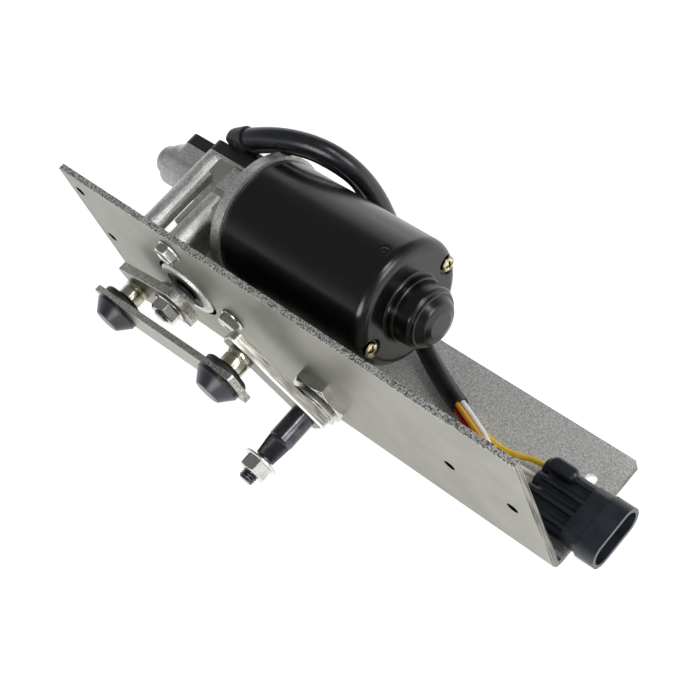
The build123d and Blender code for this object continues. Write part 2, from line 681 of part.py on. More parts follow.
def worm_wheel():
    """The wheel: toothed rim, thin web and hub; a tooth gap stands under the worm's middle."""
    root, tip, step = WHEEL_PITCH_R - TOOTH_DEPTH / 2 - 0.1, WHEEL_TIP_R - 0.05, 360 / WHEEL_TEETH
    points = []
    for i in range(WHEEL_TEETH):
        middle = 90 + (i + 0.5) * step
        for radius, off in ((root, -0.30), (tip, -0.13), (tip, 0.13), (root, 0.30)):
            points.append(on_circle(OX, OUTPUT_Z, radius, middle + off * step))
    wheel = slab(make_face(Polyline(*points, close=True)), MY - WHEEL_FACE / 2, MY + WHEEL_FACE / 2)
    for front, back in ((MY - WHEEL_FACE / 2, MY - 2.5), (MY + 2.5, MY + WHEEL_FACE / 2)):
        ring = Circle(root - 3) - Circle(OUTPUT_SHAFT_R + 4)
        wheel -= slab(Pos(OX, OUTPUT_Z) * ring, front, back)
    wheel += rod_y(OX, OUTPUT_Z, OUTPUT_SHAFT_R + 4, CHAMBER_FRONT + BODY_GAP, MY + WHEEL_FACE / 2)
    return wheel - rod_y(OX, OUTPUT_Z, OUTPUT_SHAFT_R, CHAMBER_FRONT, MY + WHEEL_FACE / 2)


def output_shaft():
    shaft = rod_y(OX, OUTPUT_Z, OUTPUT_SHAFT_R, CRANK_BACK, MY + WHEEL_FACE / 2 + 1.5)
    shaft += cone_y(OX, OUTPUT_Z, OUTPUT_TAPER_R, OUTPUT_SHAFT_R, CRANK_FRONT, CRANK_BACK)
    return shaft + rod_y(OX, OUTPUT_Z, THREAD_R, CRANK_FRONT - 7.2, CRANK_FRONT)


def output_circlip():
    front = BOSS_FRONT - 2.2
    ring = rod_y(OX, OUTPUT_Z, OUTPUT_SHAFT_R + 2.6, front, front + 1)
    ring -= rod_y(OX, OUTPUT_Z, OUTPUT_SHAFT_R, front, front + 1)
    return ring - block(OX - 1.5, OX + 1.5, front, front + 1, OUTPUT_Z - 9, OUTPUT_Z)


def crank_outline():
    """A wide flat arm: square at the stud end, round behind the output shaft."""
    reach, half = CRANK_RADIUS + CRANK_END, CRANK_WIDTH / 2
    arm = Pos(reach / 2, 0) * Rectangle(reach, CRANK_WIDTH)
    arm += Pos(-2.5, 0) * Rectangle(5, CRANK_WIDTH)
    tail = Circle(CRANK_HUB) & Rectangle(2 * CRANK_HUB, CRANK_WIDTH)
    return Pos(OX, OUTPUT_Z) * Rot(0, 0, CRANK_ANGLE) * (arm + tail)


def crank_arm():
    arm = slab(crank_outline(), CRANK_FRONT, CRANK_BACK)
    return arm - cone_y(OX, OUTPUT_Z, OUTPUT_TAPER_R, OUTPUT_SHAFT_R, CRANK_FRONT, CRANK_BACK)


def crank_nut():
    return flange_nut(OX, OUTPUT_Z, CRANK_FRONT, 6.0, THREAD_R)


def crank_stud():
    """The stud's neck, up to the running gap in front of it; the ball above it rides in the link."""
    x, z = CRANK_STUD
    seat, front = CRANK_FRONT, FACE - LINK_BACK_AT_CRANK + BOOT_T + 2 * BODY_GAP
    stud = rod_y(x, z, STUD_R, front, seat)
    groove = (seat + front) / 2
    ring = Circle(STUD_R) - Circle(STUD_R - 0.7)
    return stud - slab(Pos(x, z) * ring, groove - 0.7, groove + 0.7)


# Wiper shaft and lever

def pivot_housing():
    front, flange_back, back = FACE - PIVOT_NUT_T - 0.8, BACK_OF_SHEET + PIVOT_FLANGE_T, FACE + PIVOT_LENGTH
    sleeve = rod_y(PX, PIVOT_Z, PIVOT_THREAD_R, front, BACK_OF_SHEET)
    sleeve += rod_y(PX, PIVOT_Z, PIVOT_FLANGE_R, BACK_OF_SHEET, flange_back)
    sleeve += rod_y(PX, PIVOT_Z, PIVOT_BARREL_R, flange_back, back)
    sleeve -= rod_y(PX, PIVOT_Z, WIPER_SHAFT_R + 1, front, back)
    for a, b in pivot_bush_spans():
        sleeve -= rod_y(PX, PIVOT_Z, WIPER_SHAFT_R + 2, a, b)
    return sleeve


def pivot_bush_spans():
    front, back = FACE - PIVOT_NUT_T - 0.8, FACE + PIVOT_LENGTH
    return (front, front + 12), (back - 12, back)


def pivot_bushes():
    rings = []
    for a, b in pivot_bush_spans():
        ring = rod_y(PX, PIVOT_Z, WIPER_SHAFT_R + 2, a, b)
        rings.append(ring - rod_y(PX, PIVOT_Z, WIPER_SHAFT_R + RUNNING_GAP, a, b))
    return rings


def pivot_nut():
    nut = hex_y(PX, PIVOT_Z, PIVOT_NUT_FLATS, FACE - PIVOT_NUT_T, FACE)
    dome = cone_y(PX, PIVOT_Z, PIVOT_NUT_FLATS / 2 - 0.6, PIVOT_NUT_FLATS / 2 + 6, FACE - PIVOT_NUT_T, FACE)
    nut &= dome
    return nut - rod_y(PX, PIVOT_Z, PIVOT_THREAD_R, FACE - PIVOT_NUT_T, FACE)


def thrust_washers():
    """Three thin rings on the shaft, against the back of the lever."""
    rings = []
    for i, radius in enumerate(WASHER_RADII):
        back = LEVER_BACK + (i + 1) * WASHER_T
        ring = rod_y(PX, PIVOT_Z, radius, back - WASHER_T, back)
        rings.append(ring - rod_y(PX, PIVOT_Z, WIPER_SHAFT_R, back - WASHER_T, back))
    return rings


def wiper_shaft():
    shoulder, taper_end = FACE - WIPER_SHOULDER, FACE - WIPER_TAPER_END
    shaft = rod_y(PX, PIVOT_Z, WIPER_SHAFT_R, shoulder, FACE + PIVOT_LENGTH + 3)
    shaft += cone_y(PX, PIVOT_Z, WIPER_TAPER_R, WIPER_SHAFT_R - 0.4, taper_end, shoulder)
    return shaft + rod_y(PX, PIVOT_Z, THREAD_R, FACE - WIPER_TIP, taper_end)


def shaft_circlip():
    front = FACE + PIVOT_LENGTH + BODY_GAP
    ring = rod_y(PX, PIVOT_Z, WIPER_SHAFT_R + 2.5, front, front + 1.2)
    ring -= rod_y(PX, PIVOT_Z, WIPER_SHAFT_R, front, front + 1.2)
    return ring - block(PX - 2, PX + 2, front, front + 1.2, PIVOT_Z - 10, PIVOT_Z)


def wiper_lever():
    length = LEVER_RADIUS + LEVER_STUD_END + LEVER_HUB_END
    bar = Rectangle(length, 2 * LEVER_HALF_WIDTH)
    bar = fillet(bar.vertices(), 3.5)
    middle = (LEVER_RADIUS + LEVER_STUD_END - LEVER_HUB_END) / 2
    outline = Pos(PX, PIVOT_Z) * Rot(0, 0, LEVER_ANGLE) * Pos(middle, 0) * bar
    lever = slab(outline, LEVER_FRONT, LEVER_BACK)
    lever = chamfer(lever.faces().sort_by(Axis.Y)[0].edges(), 0.8)
    return lever - rod_y(PX, PIVOT_Z, WIPER_SHAFT_R, LEVER_FRONT, LEVER_BACK)


def lever_stud():
    """Stud of the lever: a grooved shank, a waist through the boot and the ball inside the link."""
    x, z = LEVER_STUD
    shoulder = LINK_BACK_AT_LEVER - BOOT_T - 2 * BODY_GAP - LEVER_GAP - LEVER_T
    low, high, waist = shoulder / 2 - 0.7, shoulder / 2 + 0.7, STUD_R - 0.7
    points = [(STUD_R, 0), (STUD_R, low), (waist, low), (waist, high), (STUD_R, high)]
    points += [(STUD_R, shoulder), (BALL_NECK_R, shoulder)]
    centre = LINK_BACK_AT_LEVER + LINK_T / 2 - LEVER_GAP - LEVER_T
    plane = Plane(origin=(x, LEVER_FRONT, z), x_dir=(1, 0, 0), z_dir=(0, -1, 0))
    return plane * turned_to_ball(points, BALL_NECK_R, BALL_R, centre)


def wiper_nut():
    return flange_nut(PX, PIVOT_Z, FACE - WIPER_NUT_SEAT, 7.4, THREAD_R)


# Link: drawn flat, then laid from one stud to the other

def link_plane():
    """Plane with X along the link, Y across it and Z out of its front; its origin is on the back face."""
    drop = LINK_BACK_AT_LEVER - LINK_BACK_AT_CRANK
    (x, z), (x_end, z_end) = CRANK_STUD, LEVER_STUD
    along = Vector(x_end - x, -drop, z_end - z).normalized()
    across = Vector(-(z_end - z), 0, x_end - x).normalized()
    return Plane(origin=(x, FACE - LINK_BACK_AT_CRANK, z), x_dir=along, z_dir=along.cross(across))


def at_studs(piece):
    """Copies of a piece at both ends of the link."""
    span = math.hypot(LINK_SPAN, LINK_BACK_AT_LEVER - LINK_BACK_AT_CRANK)
    return [link_plane() * Pos(x, 0, 0) * piece for x in (0, span)]


def link_bar():
    span = math.hypot(LINK_SPAN, LINK_BACK_AT_LEVER - LINK_BACK_AT_CRANK)
    outline = Pos(span / 2, 0) * Rectangle(span + 2 * LINK_OVERHANG, 2 * LINK_HALF_WIDTH)
    outline = fillet(outline.vertices(), 2.0)
    for x in (0, span):
        outline -= Pos(x, 0) * Circle(BALL_R + 2 * BODY_GAP)
    return link_plane() * extrude(outline, amount=LINK_T)


def link_caps():
    low, high = LINK_T, LINK_T + CAP_HEIGHT
    profile = [(0, low), (CAP_R, low), (CAP_R, low + CAP_RIM), (CAP_TOP_R, high), (0, high)]
    cap = revolve(Plane.XZ * make_face(Polyline(*profile, close=True)), Axis.Z)
    return at_studs(cap - Pos(0, 0, LINK_T / 2) * Sphere(BALL_R + BODY_GAP))


def ball_in_link():
    """The ball with its neck, as large as the link's hollow for it."""
    neck = BALL_NECK_R + BODY_GAP
    return turned_to_ball([(neck, -BOOT_T)], neck, BALL_R + BODY_GAP, LINK_T / 2)


def link_boots():
    profile = [(0, -BOOT_T), (CAP_R - 1.2, -BOOT_T), (CAP_R, -BOOT_T + 1.2), (CAP_R, 0), (0, 0)]
    boot = revolve(Plane.XZ * make_face(Polyline(*profile, close=True)), Axis.Z)
    return at_studs(boot - ball_in_link())


def link_ball():
    """The crank stud's ball with its short neck, on the link's side of the open pivot."""
    return link_plane() * ball_in_link()


# Cable and connector

def at(x, y, z):
    """A point of a cord's route, from the bracket's left end, front face and underside."""
    return (LEFT + x, FACE + y, z)


SLEEVE_ROUTE = [at(66, 59.2, 92.4), at(92, 67.6, 104), at(124, 78, 88), at(127, 79, 30), at(160, 46.6, 8.2)]
SLEEVE_ROUTE += [at(195, 35, 9.5)]
HOSE_ROUTE = [at(66, 57.2, 85.3), at(93, 66, 97.7), at(118, 74.9, 80), at(117, 75.9, 58)]
HOSE_ROUTE += [at(120, 75.4, 40)]
# Each wire: its place in the sleeve's end (across, up), its bends on the way, and its cavity
WIRE_PLANS = {
    "wire_red": ((-2.1, -0.5), [(207, 28.4, 9.4), (230, 12.95, 10.7)], 0),
    "wire_orange": ((-0.6, 1.7), [(209, 29.4, 12.2), (233, 19.65, 10.7)], 1),
    "wire_white": ((1.9, 0.9), [(211, 31.6, 11.2), (224, 24.5, 9.2), (236, 26.35, 10.7)], 2),
    "wire_yellow": ((0.6, -1.9), [(210, 31.5, 7.4), (224, 29.5, 7.4), (237, 33.05, 10.7)], 3),
}


def wire_route(place, bends, cavity):
    """From the sleeve's open end to the back of the wire's seal, the last run straight in."""
    end, before = Vector(*SLEEVE_ROUTE[-1]), Vector(*SLEEVE_ROUTE[-2])
    along = (end - before).normalized()
    across = Vector(0, 0, 1).cross(along).normalized()
    start = end - along * (SLEEVE_POCKET - 0.4) + across * place[0] + along.cross(across) * place[1]
    inside = (LEFT + CONNECTOR_BACK_X + 4, WIRES_Y[cavity], CONNECTOR_Z)
    return [tuple(start), *[at(*bend) for bend in bends], inside]


def cable_boot():
    """Rubber boot on the cover's outlet that the sleeve and the vent hose leave by."""
    low, back = BLOCK_TOP_Z - 6, COVER_BACK + COVER_HUMP_T
    boot = block(LEFT + 60.2, LEFT + 71, COVER_BACK, back + 0.8, low, low + 9)
    boot = fillet(boot.edges().filter_by(Axis.Z), 1.5)
    start, next_point = Vector(*SLEEVE_ROUTE[0]), Vector(*SLEEVE_ROUTE[1])
    along = (next_point - start).normalized()
    collar = Plane(origin=start - along * 2, z_dir=along)
    boot += collar * Pos(0, 0, 3.5) * Cylinder(SLEEVE_R + 0.9, 7)
    boot += collar * Sphere(SLEEVE_R + 0.9)
    boot -= block(LEFT, OX + 30, FACE, COVER_BACK, 0, 2 * BRACKET_HEIGHT)
    boot -= block(LEFT, OX + 30, COVER_BACK, COVER_BACK + 30, 0, low)
    boot -= rod_y(LEFT + TOWER_X, TOWER_Z, COVER_SCREW_R * 1.9 + BODY_GAP, COVER_BACK, COVER_BACK + 1)
    boot -= Plane(origin=start, z_dir=along) * Pos(0, 0, 10) * Cylinder(SLEEVE_R, 20)
    hose, hose_next = Vector(*HOSE_ROUTE[0]), Vector(*HOSE_ROUTE[1])
    away = (hose_next - hose).normalized()
    return boot - Plane(origin=hose, z_dir=away) * Pos(0, 0, 12) * Cylinder(HOSE_R, 24)


def cable_sleeve():
    sleeve = cord(SLEEVE_ROUTE, SLEEVE_R, "cable_sleeve")
    end, before = Vector(*SLEEVE_ROUTE[-1]), Vector(*SLEEVE_ROUTE[-2])
    pocket = Plane(origin=end, z_dir=(before - end).normalized())
    return sleeve - pocket * Pos(0, 0, SLEEVE_POCKET / 2 - 0.5) * Cylinder(SLEEVE_POCKET_R, SLEEVE_POCKET + 1)


def vent_hose():
    return cord(HOSE_ROUTE, HOSE_R, "vent_hose")


def connector_housing():
    """Four-way shell: ribbed body, stepped collar with its mouth, latch and wire cavities."""
    y, z, back = FACE + CONNECTOR_Y, CONNECTOR_Z, LEFT + CONNECTOR_BACK_X
    band, collar, mouth = LEFT + BAND_X, LEFT + COLLAR_X, LEFT + CONNECTOR_MOUTH_X
    body = section_x(Pos(y, z) * SlotOverall(CONNECTOR_WIDTH, CONNECTOR_HEIGHT), collar, mouth)
    narrow, low = CONNECTOR_WIDTH - 2 * BAND_STEP, CONNECTOR_HEIGHT - 2 * BAND_STEP
    body += section_x(Pos(y, z) * SlotOverall(narrow, low), band, collar)
    rib = CONNECTOR_HEIGHT / 2 - 1.1
    for wire_y in WIRES_Y:
        body += rod_x(wire_y, z, CAVITY_R + 1.8, back, band)
        body += block(back + 3, band, wire_y - 0.8, wire_y + 0.8, z - rib, z + rib)
    web = CONNECTOR_WIDTH / 2 - 3.5
    body += block(back + 4, band, y - web, y + web, z - 3.6, z + 3.6)
    latch = Pos(back + 3 + LATCH_LENGTH / 2, y + 7.5 + LATCH_WIDTH / 2) * SlotOverall(LATCH_LENGTH, LATCH_WIDTH)
    latch = Pos(0, 0, z + 2) * extrude(latch, amount=LATCH_TOP - 2)
    body += fillet(latch.edges().group_by(Axis.Z)[-1], 2.0)
    inside = SlotOverall(CONNECTOR_WIDTH - 2 * CONNECTOR_WALL, CONNECTOR_HEIGHT - 2 * CONNECTOR_WALL)
    body -= section_x(Pos(y, z) * inside, mouth - MOUTH_DEPTH, mouth)
    for wire_y in WIRES_Y:
        body -= rod_x(wire_y, z, CAVITY_R, back, back + CAVITY_DEPTH)
        body -= block(back + CAVITY_DEPTH, mouth, wire_y - 0.8, wire_y + 0.8, z - 0.4, z + 0.4)
    return body


def connector_seals():
    left = LEFT + CONNECTOR_BACK_X + 0.5
    return [rod_x(y, CONNECTOR_Z, CAVITY_R, left, left + SEAL_LENGTH) for y in WIRES_Y]


def connector_pins():
    left, right = LEFT + CONNECTOR_BACK_X + CAVITY_DEPTH, LEFT + CONNECTOR_MOUTH_X - 3.5
    return [block(left, right, y - 0.8, y + 0.8, CONNECTOR_Z - 0.4, CONNECTOR_Z + 0.4) for y in WIRES_Y]


def wires():
    return {name: cord(wire_route(*plan), WIRE_R, name) for name, plan in WIRE_PLANS.items()}


def write(name, shape):
    pieces = shape if isinstance(shape, list) else [shape]
    solids = [s for p in pieces for s in p.solids()]
    export_step(solids[0] if len(solids) == 1 else Compound(children=solids), f"parts/{name}.step")
    print(name, len(solids), round(sum(s.volume for s in solids), 1))


def main():
    os.makedirs("parts", exist_ok=True)
    makers = [
        mounting_bracket, housing_bolts, gear_housing, cover_gasket, gear_cover, cover_screws, cover_clip,
        park_plate, park_contacts, output_bush, output_seal, thrust_ball, front_bearing,
        motor_can, can_screws, magnets, end_bush, brush_plate, brushes, brush_springs,
        armature_shaft, armature_core, armature_windings, commutator,
        worm_wheel, output_shaft, output_circlip, crank_arm, crank_nut, crank_stud,
        pivot_housing, pivot_bushes, pivot_nut, thrust_washers, wiper_shaft, shaft_circlip,
        wiper_lever, lever_stud, wiper_nut,
        link_bar, link_caps, link_boots, link_ball,
        cable_boot, cable_sleeve, vent_hose, connector_housing, connector_pins,
    ]
    for maker in makers:
        write(maker.__name__, maker())
    seals = connector_seals()
    for name, wire in wires().items():
        seals = [s - wire for s in seals]
        write(name, wire)
    write("connector_seals", seals)


main()
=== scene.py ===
import json
import math

import bmesh
import bpy
import numpy as np
from mathutils import Matrix, Vector


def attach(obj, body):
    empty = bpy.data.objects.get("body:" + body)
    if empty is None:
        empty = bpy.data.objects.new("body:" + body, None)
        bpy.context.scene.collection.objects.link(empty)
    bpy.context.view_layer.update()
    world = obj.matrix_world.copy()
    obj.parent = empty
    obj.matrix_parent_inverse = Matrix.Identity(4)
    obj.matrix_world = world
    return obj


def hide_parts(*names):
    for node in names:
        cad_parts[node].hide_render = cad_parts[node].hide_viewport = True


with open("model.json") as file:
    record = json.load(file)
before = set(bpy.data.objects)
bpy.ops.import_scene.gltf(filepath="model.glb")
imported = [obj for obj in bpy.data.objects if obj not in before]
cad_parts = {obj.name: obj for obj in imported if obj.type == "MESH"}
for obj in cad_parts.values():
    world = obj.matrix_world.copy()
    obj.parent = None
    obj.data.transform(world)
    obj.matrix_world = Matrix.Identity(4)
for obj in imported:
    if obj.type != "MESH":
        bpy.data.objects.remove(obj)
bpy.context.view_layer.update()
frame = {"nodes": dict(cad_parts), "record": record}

BODY_OF = {node: body for body, nodes in frame["record"]["behaviour"]["bodies"].items() for node in nodes}
SLOT_OF = {part["node"]: part["material_slot"] for part in frame["record"]["subparts"]}

# Places, in mm from the bracket's left end, front face and underside

MM = 0.001
BRACKET_LENGTH, BRACKET_DEPTH = 275.0, 59.0
ORIGIN = np.array([BRACKET_LENGTH / 2, BRACKET_DEPTH / 2, 0.0])


def place(x, y, z):
    """A point in mm on the bracket, as metres in the part's frame."""
    return tuple((np.array([x, y, z], float) - ORIGIN) * MM)


def on_circle(centre, radius, degrees):
    """A point round an axis that runs front to back, counted from the right and upwards."""
    turn = math.radians(degrees)
    return (centre[0] + radius * math.cos(turn), 0.0, centre[2] + radius * math.sin(turn))


OUTPUT = (65.0, 0.0, 46.0)
PIVOT = (149.5, 0.0, 29.0)
MOTOR = (0.0, 40.7, 70.7)
CRANK_STUD = on_circle(OUTPUT, 28.5, 194)
LEVER_STUD = on_circle(PIVOT, 38.3, 136)


# Materials

PER_MM = 1000.0  # the noise scale that gives blotches about 1 mm wide


def shade(code):
    """sRGB hex to linear colour: divide by 12.92 below 0.04045, else ((c + 0.055) / 1.055) to the power
    2.4."""
    c = np.array([int(code[i:i + 2], 16) for i in (1, 3, 5)]) / 255.0
    return (*np.where(c <= 0.04045, c / 12.92, ((c + 0.055) / 1.055) ** 2.4), 1.0)


def give(tree, node, values):
    """Each value goes to the node's attribute or input of that name or number; another node's output is
    linked."""
    for key, value in values.items():
        if isinstance(value, bpy.types.NodeSocket):
            tree.links.new(value, node.inputs[key])
        elif isinstance(key, str) and hasattr(node, key):
            setattr(node, key, value)
        else:
            node.inputs[key].default_value = value


def add(tree, kind, values, output=0):
    """Adds one node with its settings and links, and gives back one of its outputs."""
    node = tree.nodes.new("ShaderNode" + kind)
    give(tree, node, values)
    return node.outputs[output]


def shaded(material, values):
    """A material with values and outputs given to its Principled shader."""
    give(material.node_tree, material.node_tree.nodes["Principled BSDF"], values)
    return material


def blank(name, colour):
    """A new material of one plain colour, and its node tree."""
    material = bpy.data.materials.new(name)
    material.use_nodes = True
    return shaded(material, {"Base Color": shade(colour)}), material.node_tree


def two_tones(tree, amount, start, end, first, second):
    """A mix from the first colour, where the amount is start, to the second, where it is end."""
    share = add(tree, "MapRange", {"Value": amount, "From Min": start, "From Max": end})
    return add(tree, "Mix", {"data_type": "RGBA", 0: share, 6: shade(first), 7: shade(second)}, 2)


def coated(tree, colour, *coats):
    """A colour with others laid over it in turn, each where its mask is 1."""
    for mask, coat in coats:
        colour = add(tree, "Mix", {"data_type": "RGBA", 0: mask, 6: colour, 7: coat}, 2)
    return colour


def where_all(tree, *tests):
    """1 where every test holds, else 0: each is a coordinate, a comparison and a limit in metres."""
    mask = None
    for value, comparison, limit in tests:
        holds = add(tree, "Math", {"operation": comparison, 0: value, 1: limit})
        if mask is None:
            mask = holds
        else:
            mask = add(tree, "Math", {"operation": "MULTIPLY", 0: mask, 1: holds})
    return mask


def zinc_sheet():
    """Galvanised cold-rolled sheet, folded and punched: warm grey with faint smears; a grit on the base
    flange, whose tone is painted far lighter than the face's as painted light on its upward side;
    black-and-white torn specks on the sheared top edge; drawn lines on the cut ends; and near-black painted
    shade on the walls in the holes. The grit and the torn specks are finer on the real one, and are drawn
    as coarse as they need to show. The masks' limits are places on the sheet in metres."""
    base_top, fold_back = 0.0035, -0.0245
    hole_front, hole_back, fold_top = -0.0293, -0.0265, 0.008
    top_edge, cut_end = 0.09495, 0.13735
    material, tree = blank("galvanised_sheet", "#a09f96")
    point = add(tree, "TexCoord", {}, "Object")
    x, y, z = add(tree, "SeparateXYZ", {"Vector": point}).node.outputs
    across = add(tree, "Math", {"operation": "ABSOLUTE", 0: x})
    base = where_all(tree, (z, "LESS_THAN", base_top), (y, "GREATER_THAN", fold_back))
    # The walls inside the punched holes, which get painted shade
    hole = where_all(tree, (y, "GREATER_THAN", hole_front), (y, "LESS_THAN", hole_back),
                     (z, "GREATER_THAN", fold_top))
    top = where_all(tree, (z, "GREATER_THAN", top_edge))
    end = where_all(tree, (across, "GREATER_THAN", cut_end))
    pulled = add(tree, "Mapping", {"Vector": point, "Scale": (0.8, 0.6, 1)})
    along = add(tree, "Mapping", {"Vector": point, "Scale": (1, 2.6, 0.05)})
    cloud = add(tree, "TexNoise", {"Vector": point, "Scale": PER_MM / 17, "Detail": 3, "Roughness": 0.5})
    grain = add(tree, "TexNoise", {"Vector": point, "Scale": PER_MM / 0.7, "Detail": 2, "Roughness": 0.7})
    grit = add(tree, "TexNoise", {"Vector": point, "Scale": PER_MM / 0.58, "Detail": 2, "Roughness": 0.8})
    torn = add(tree, "TexNoise", {"Vector": pulled, "Scale": PER_MM / 0.5, "Detail": 2, "Roughness": 0.8})
    drawn = add(tree, "TexNoise", {"Vector": along, "Scale": PER_MM / 1.1, "Detail": 2, "Roughness": 0.6})
    smeared = two_tones(tree, cloud, 0.33, 0.67, "#8d8c83", "#999890")
    # Base flange: a real grit, in tones painted far lighter than the face's as painted light on its upward
    # side
    grit_with_painted_light = two_tones(tree, grit, 0.4, 0.6, "#c6c6c2", "#fafaf6")
    # Painted shade: near black on the hole walls
    black = two_tones(tree, grain, 0.0, 1.0, "#0f0f0e", "#1c1b1a")
    specks = two_tones(tree, torn, 0.4, 0.56, "#4a4946", "#f4f2ea")
    lines = two_tones(tree, drawn, 0.4, 0.6, "#55544f", "#aeaca3")
    colour = coated(tree, smeared, (base, grit_with_painted_light), (hole, black), (top, specks), (end, lines))
    smear = add(tree, "MapRange", {"Value": cloud, "To Min": 0.44, "To Max": 0.52})
    dull = add(tree, "Math", {"operation": "MULTIPLY_ADD", 0: base, 1: 0.16, 2: smear})
    tears = add(tree, "Math", {"operation": "MULTIPLY", 0: torn, 1: top})
    height = add(tree, "Math", {"operation": "MULTIPLY_ADD", 0: grain, 1: 0.06, 2: tears})
    bump = add(tree, "Bump", {"Height": height, "Strength": 0.6, "Distance": 0.35 * MM})
    return shaded(material, {"Metallic": 1.0, "Base Color": colour, "Roughness": dull, "Normal": bump})


def strip_steel(name, faces, degrees, stretch, cuts):
    """Zinc-plated strip, sheared and tumbled: smooth warm grey faces, cut edges with bright and dark marks,
    and near-white lines painted along the bevelled corners as a highlight. The marks are turned by so many
    degrees about Y and then stretched along each axis. They are 0.45 mm wide, coarser than the real ones,
    so that they show."""
    material, tree = blank(name, "#a9a79c")
    point = add(tree, "TexCoord", {}, "Object")
    normal = add(tree, "TexCoord", {}, "Normal")
    facing = add(tree, "SeparateXYZ", {"Vector": normal}, "Y")
    lean = add(tree, "Math", {"operation": "ABSOLUTE", 0: facing})
    edge = add(tree, "Math", {"operation": "LESS_THAN", 0: lean, 1: 0.5})
    # The bevels between face and cut edge, where a painted highlight goes
    corner = add(tree, "Math", {"operation": "COMPARE", 0: lean, 1: 0.55, 2: 0.33})
    lined_up = add(tree, "Mapping", {"Vector": point, "Rotation": (0, math.radians(degrees), 0)})
    along = add(tree, "Mapping", {"Vector": lined_up, "Scale": stretch})
    cloud = add(tree, "TexNoise", {"Vector": point, "Scale": PER_MM / 6, "Detail": 3, "Roughness": 0.55})
    grain = add(tree, "TexNoise", {"Vector": point, "Scale": PER_MM / 0.5, "Detail": 2, "Roughness": 0.7})
    marks = add(tree, "TexNoise", {"Vector": along, "Scale": PER_MM / 0.45, "Detail": 2, "Roughness": 0.7})
    face = two_tones(tree, cloud, 0.36, 0.64, *faces)
    cut = two_tones(tree, marks, 0.4, 0.6, *cuts)
    # Painted highlight: near-white lines along the bevels
    painted_bevel_highlight = two_tones(tree, grain, 0.0, 1.0, "#d8d6cd", "#f4f3ee")
    colour = coated(tree, face, (edge, cut), (corner, painted_bevel_highlight))
    cut_marks = add(tree, "Math", {"operation": "MULTIPLY", 0: marks, 1: edge})
    fine = add(tree, "Math", {"operation": "MULTIPLY", 0: grain, 1: 0.1})
    height = add(tree, "Math", {"operation": "MULTIPLY_ADD", 0: cut_marks, 1: 0.35, 2: fine})
    bump = add(tree, "Bump", {"Height": height, "Strength": 0.5, "Distance": 0.25 * MM})
    gloss = add(tree, "MapRange", {"Value": cloud, "To Min": 0.3, "To Max": 0.42})
    return shaded(material, {"Metallic": 1.0, "Base Color": colour, "Roughness": gloss, "Normal": bump})


def plated(name, light, dark, rough, grain_mm=0.5, cloud_mm=7.0, relief=0.05):
    """A plated or ground metal: two close tones in soft clouds, and a fine grain in the gloss."""
    material, tree = blank(name, light)
    point = add(tree, "TexCoord", {}, "Object")
    soft, fine = PER_MM / cloud_mm, PER_MM / grain_mm
    cloud = add(tree, "TexNoise", {"Vector": point, "Scale": soft, "Detail": 3, "Roughness": 0.55})
    grain = add(tree, "TexNoise", {"Vector": point, "Scale": fine, "Detail": 3, "Roughness": 0.7})
    colour = two_tones(tree, cloud, 0.38, 0.66, light, dark)
    worn = {"From Min": 0.3, "From Max": 0.7, "To Min": rough - 0.05, "To Max": rough + 0.06}
    gloss = add(tree, "MapRange", {"Value": grain, **worn})
    bump = add(tree, "Bump", {"Height": grain, "Strength": relief, "Distance": 0.12 * MM})
    return shaded(material, {"Metallic": 1.0, "Base Color": colour, "Roughness": gloss, "Normal": bump})


def with_painted_recess_shade(material, low, high):
    """Darkens a finish from one X in metres down to another, and no further than 1.5 mm: painted shade in a
    screw's cross and under its rim, darkest from the lower X down."""
    tree = material.node_tree
    clean = tree.nodes["Principled BSDF"].inputs["Base Color"].links[0].from_socket
    x = add(tree, "SeparateXYZ", {"Vector": add(tree, "TexCoord", {}, "Object")}, "X")
    near = where_all(tree, (x, "GREATER_THAN", low - 0.0015))
    fall = {"Value": x, "From Min": low, "From Max": high, "To Min": 1.0, "To Max": 0.0}
    deep = add(tree, "Math", {"operation": "MULTIPLY", 0: near, 1: add(tree, "MapRange", fall)})
    # Painted shade: dark brown, deepest in the cross and under the rim
    painted_shade = two_tones(tree, deep, 0.0, 1.0, "#4a402c", "#231d12")
    return shaded(material, {"Base Color": coated(tree, clean, (deep, painted_shade))})


def moulded(name, light, dark, rough, grain_mm=0.4, relief=0.12):
    """A moulded plastic or rubber: nearly even colour, a faint mould grain, a slightly uneven gloss."""
    material, tree = blank(name, light)
    point = add(tree, "TexCoord", {}, "Object")
    cloud = add(tree, "TexNoise", {"Vector": point, "Scale": PER_MM / 9, "Detail": 3, "Roughness": 0.55})
    fine = PER_MM / grain_mm
    grain = add(tree, "TexNoise", {"Vector": point, "Scale": fine, "Detail": 3, "Roughness": 0.65})
    colour = two_tones(tree, cloud, 0.35, 0.65, light, dark)
    gloss = add(tree, "MapRange", {"Value": cloud, "To Min": rough - 0.05, "To Max": rough + 0.08})
    bump = add(tree, "Bump", {"Height": grain, "Strength": relief, "Distance": 0.1 * MM})
    return shaded(material, {"IOR": 1.5, "Base Color": colour, "Roughness": gloss, "Normal": bump})


def laminated():
    """Stacked electrical steel: dark lines across the core. They are drawn 3 mm apart, where real sheets
    are 0.5 mm thick, so that they show."""
    material, tree = blank("laminated_steel", "#6f6d6a")
    point = add(tree, "TexCoord", {}, "Object")
    wave = add(tree, "TexWave", {"Vector": point, "Scale": 100.0, "Distortion": 0.4}, "Fac")
    colour = two_tones(tree, wave, 0.0, 1.0, "#4a4947", "#85827d")
    bump = add(tree, "Bump", {"Height": wave, "Strength": 0.4, "Distance": 0.1 * MM})
    return shaded(material, {"Metallic": 0.9, "Roughness": 0.5, "Base Color": colour, "Normal": bump})


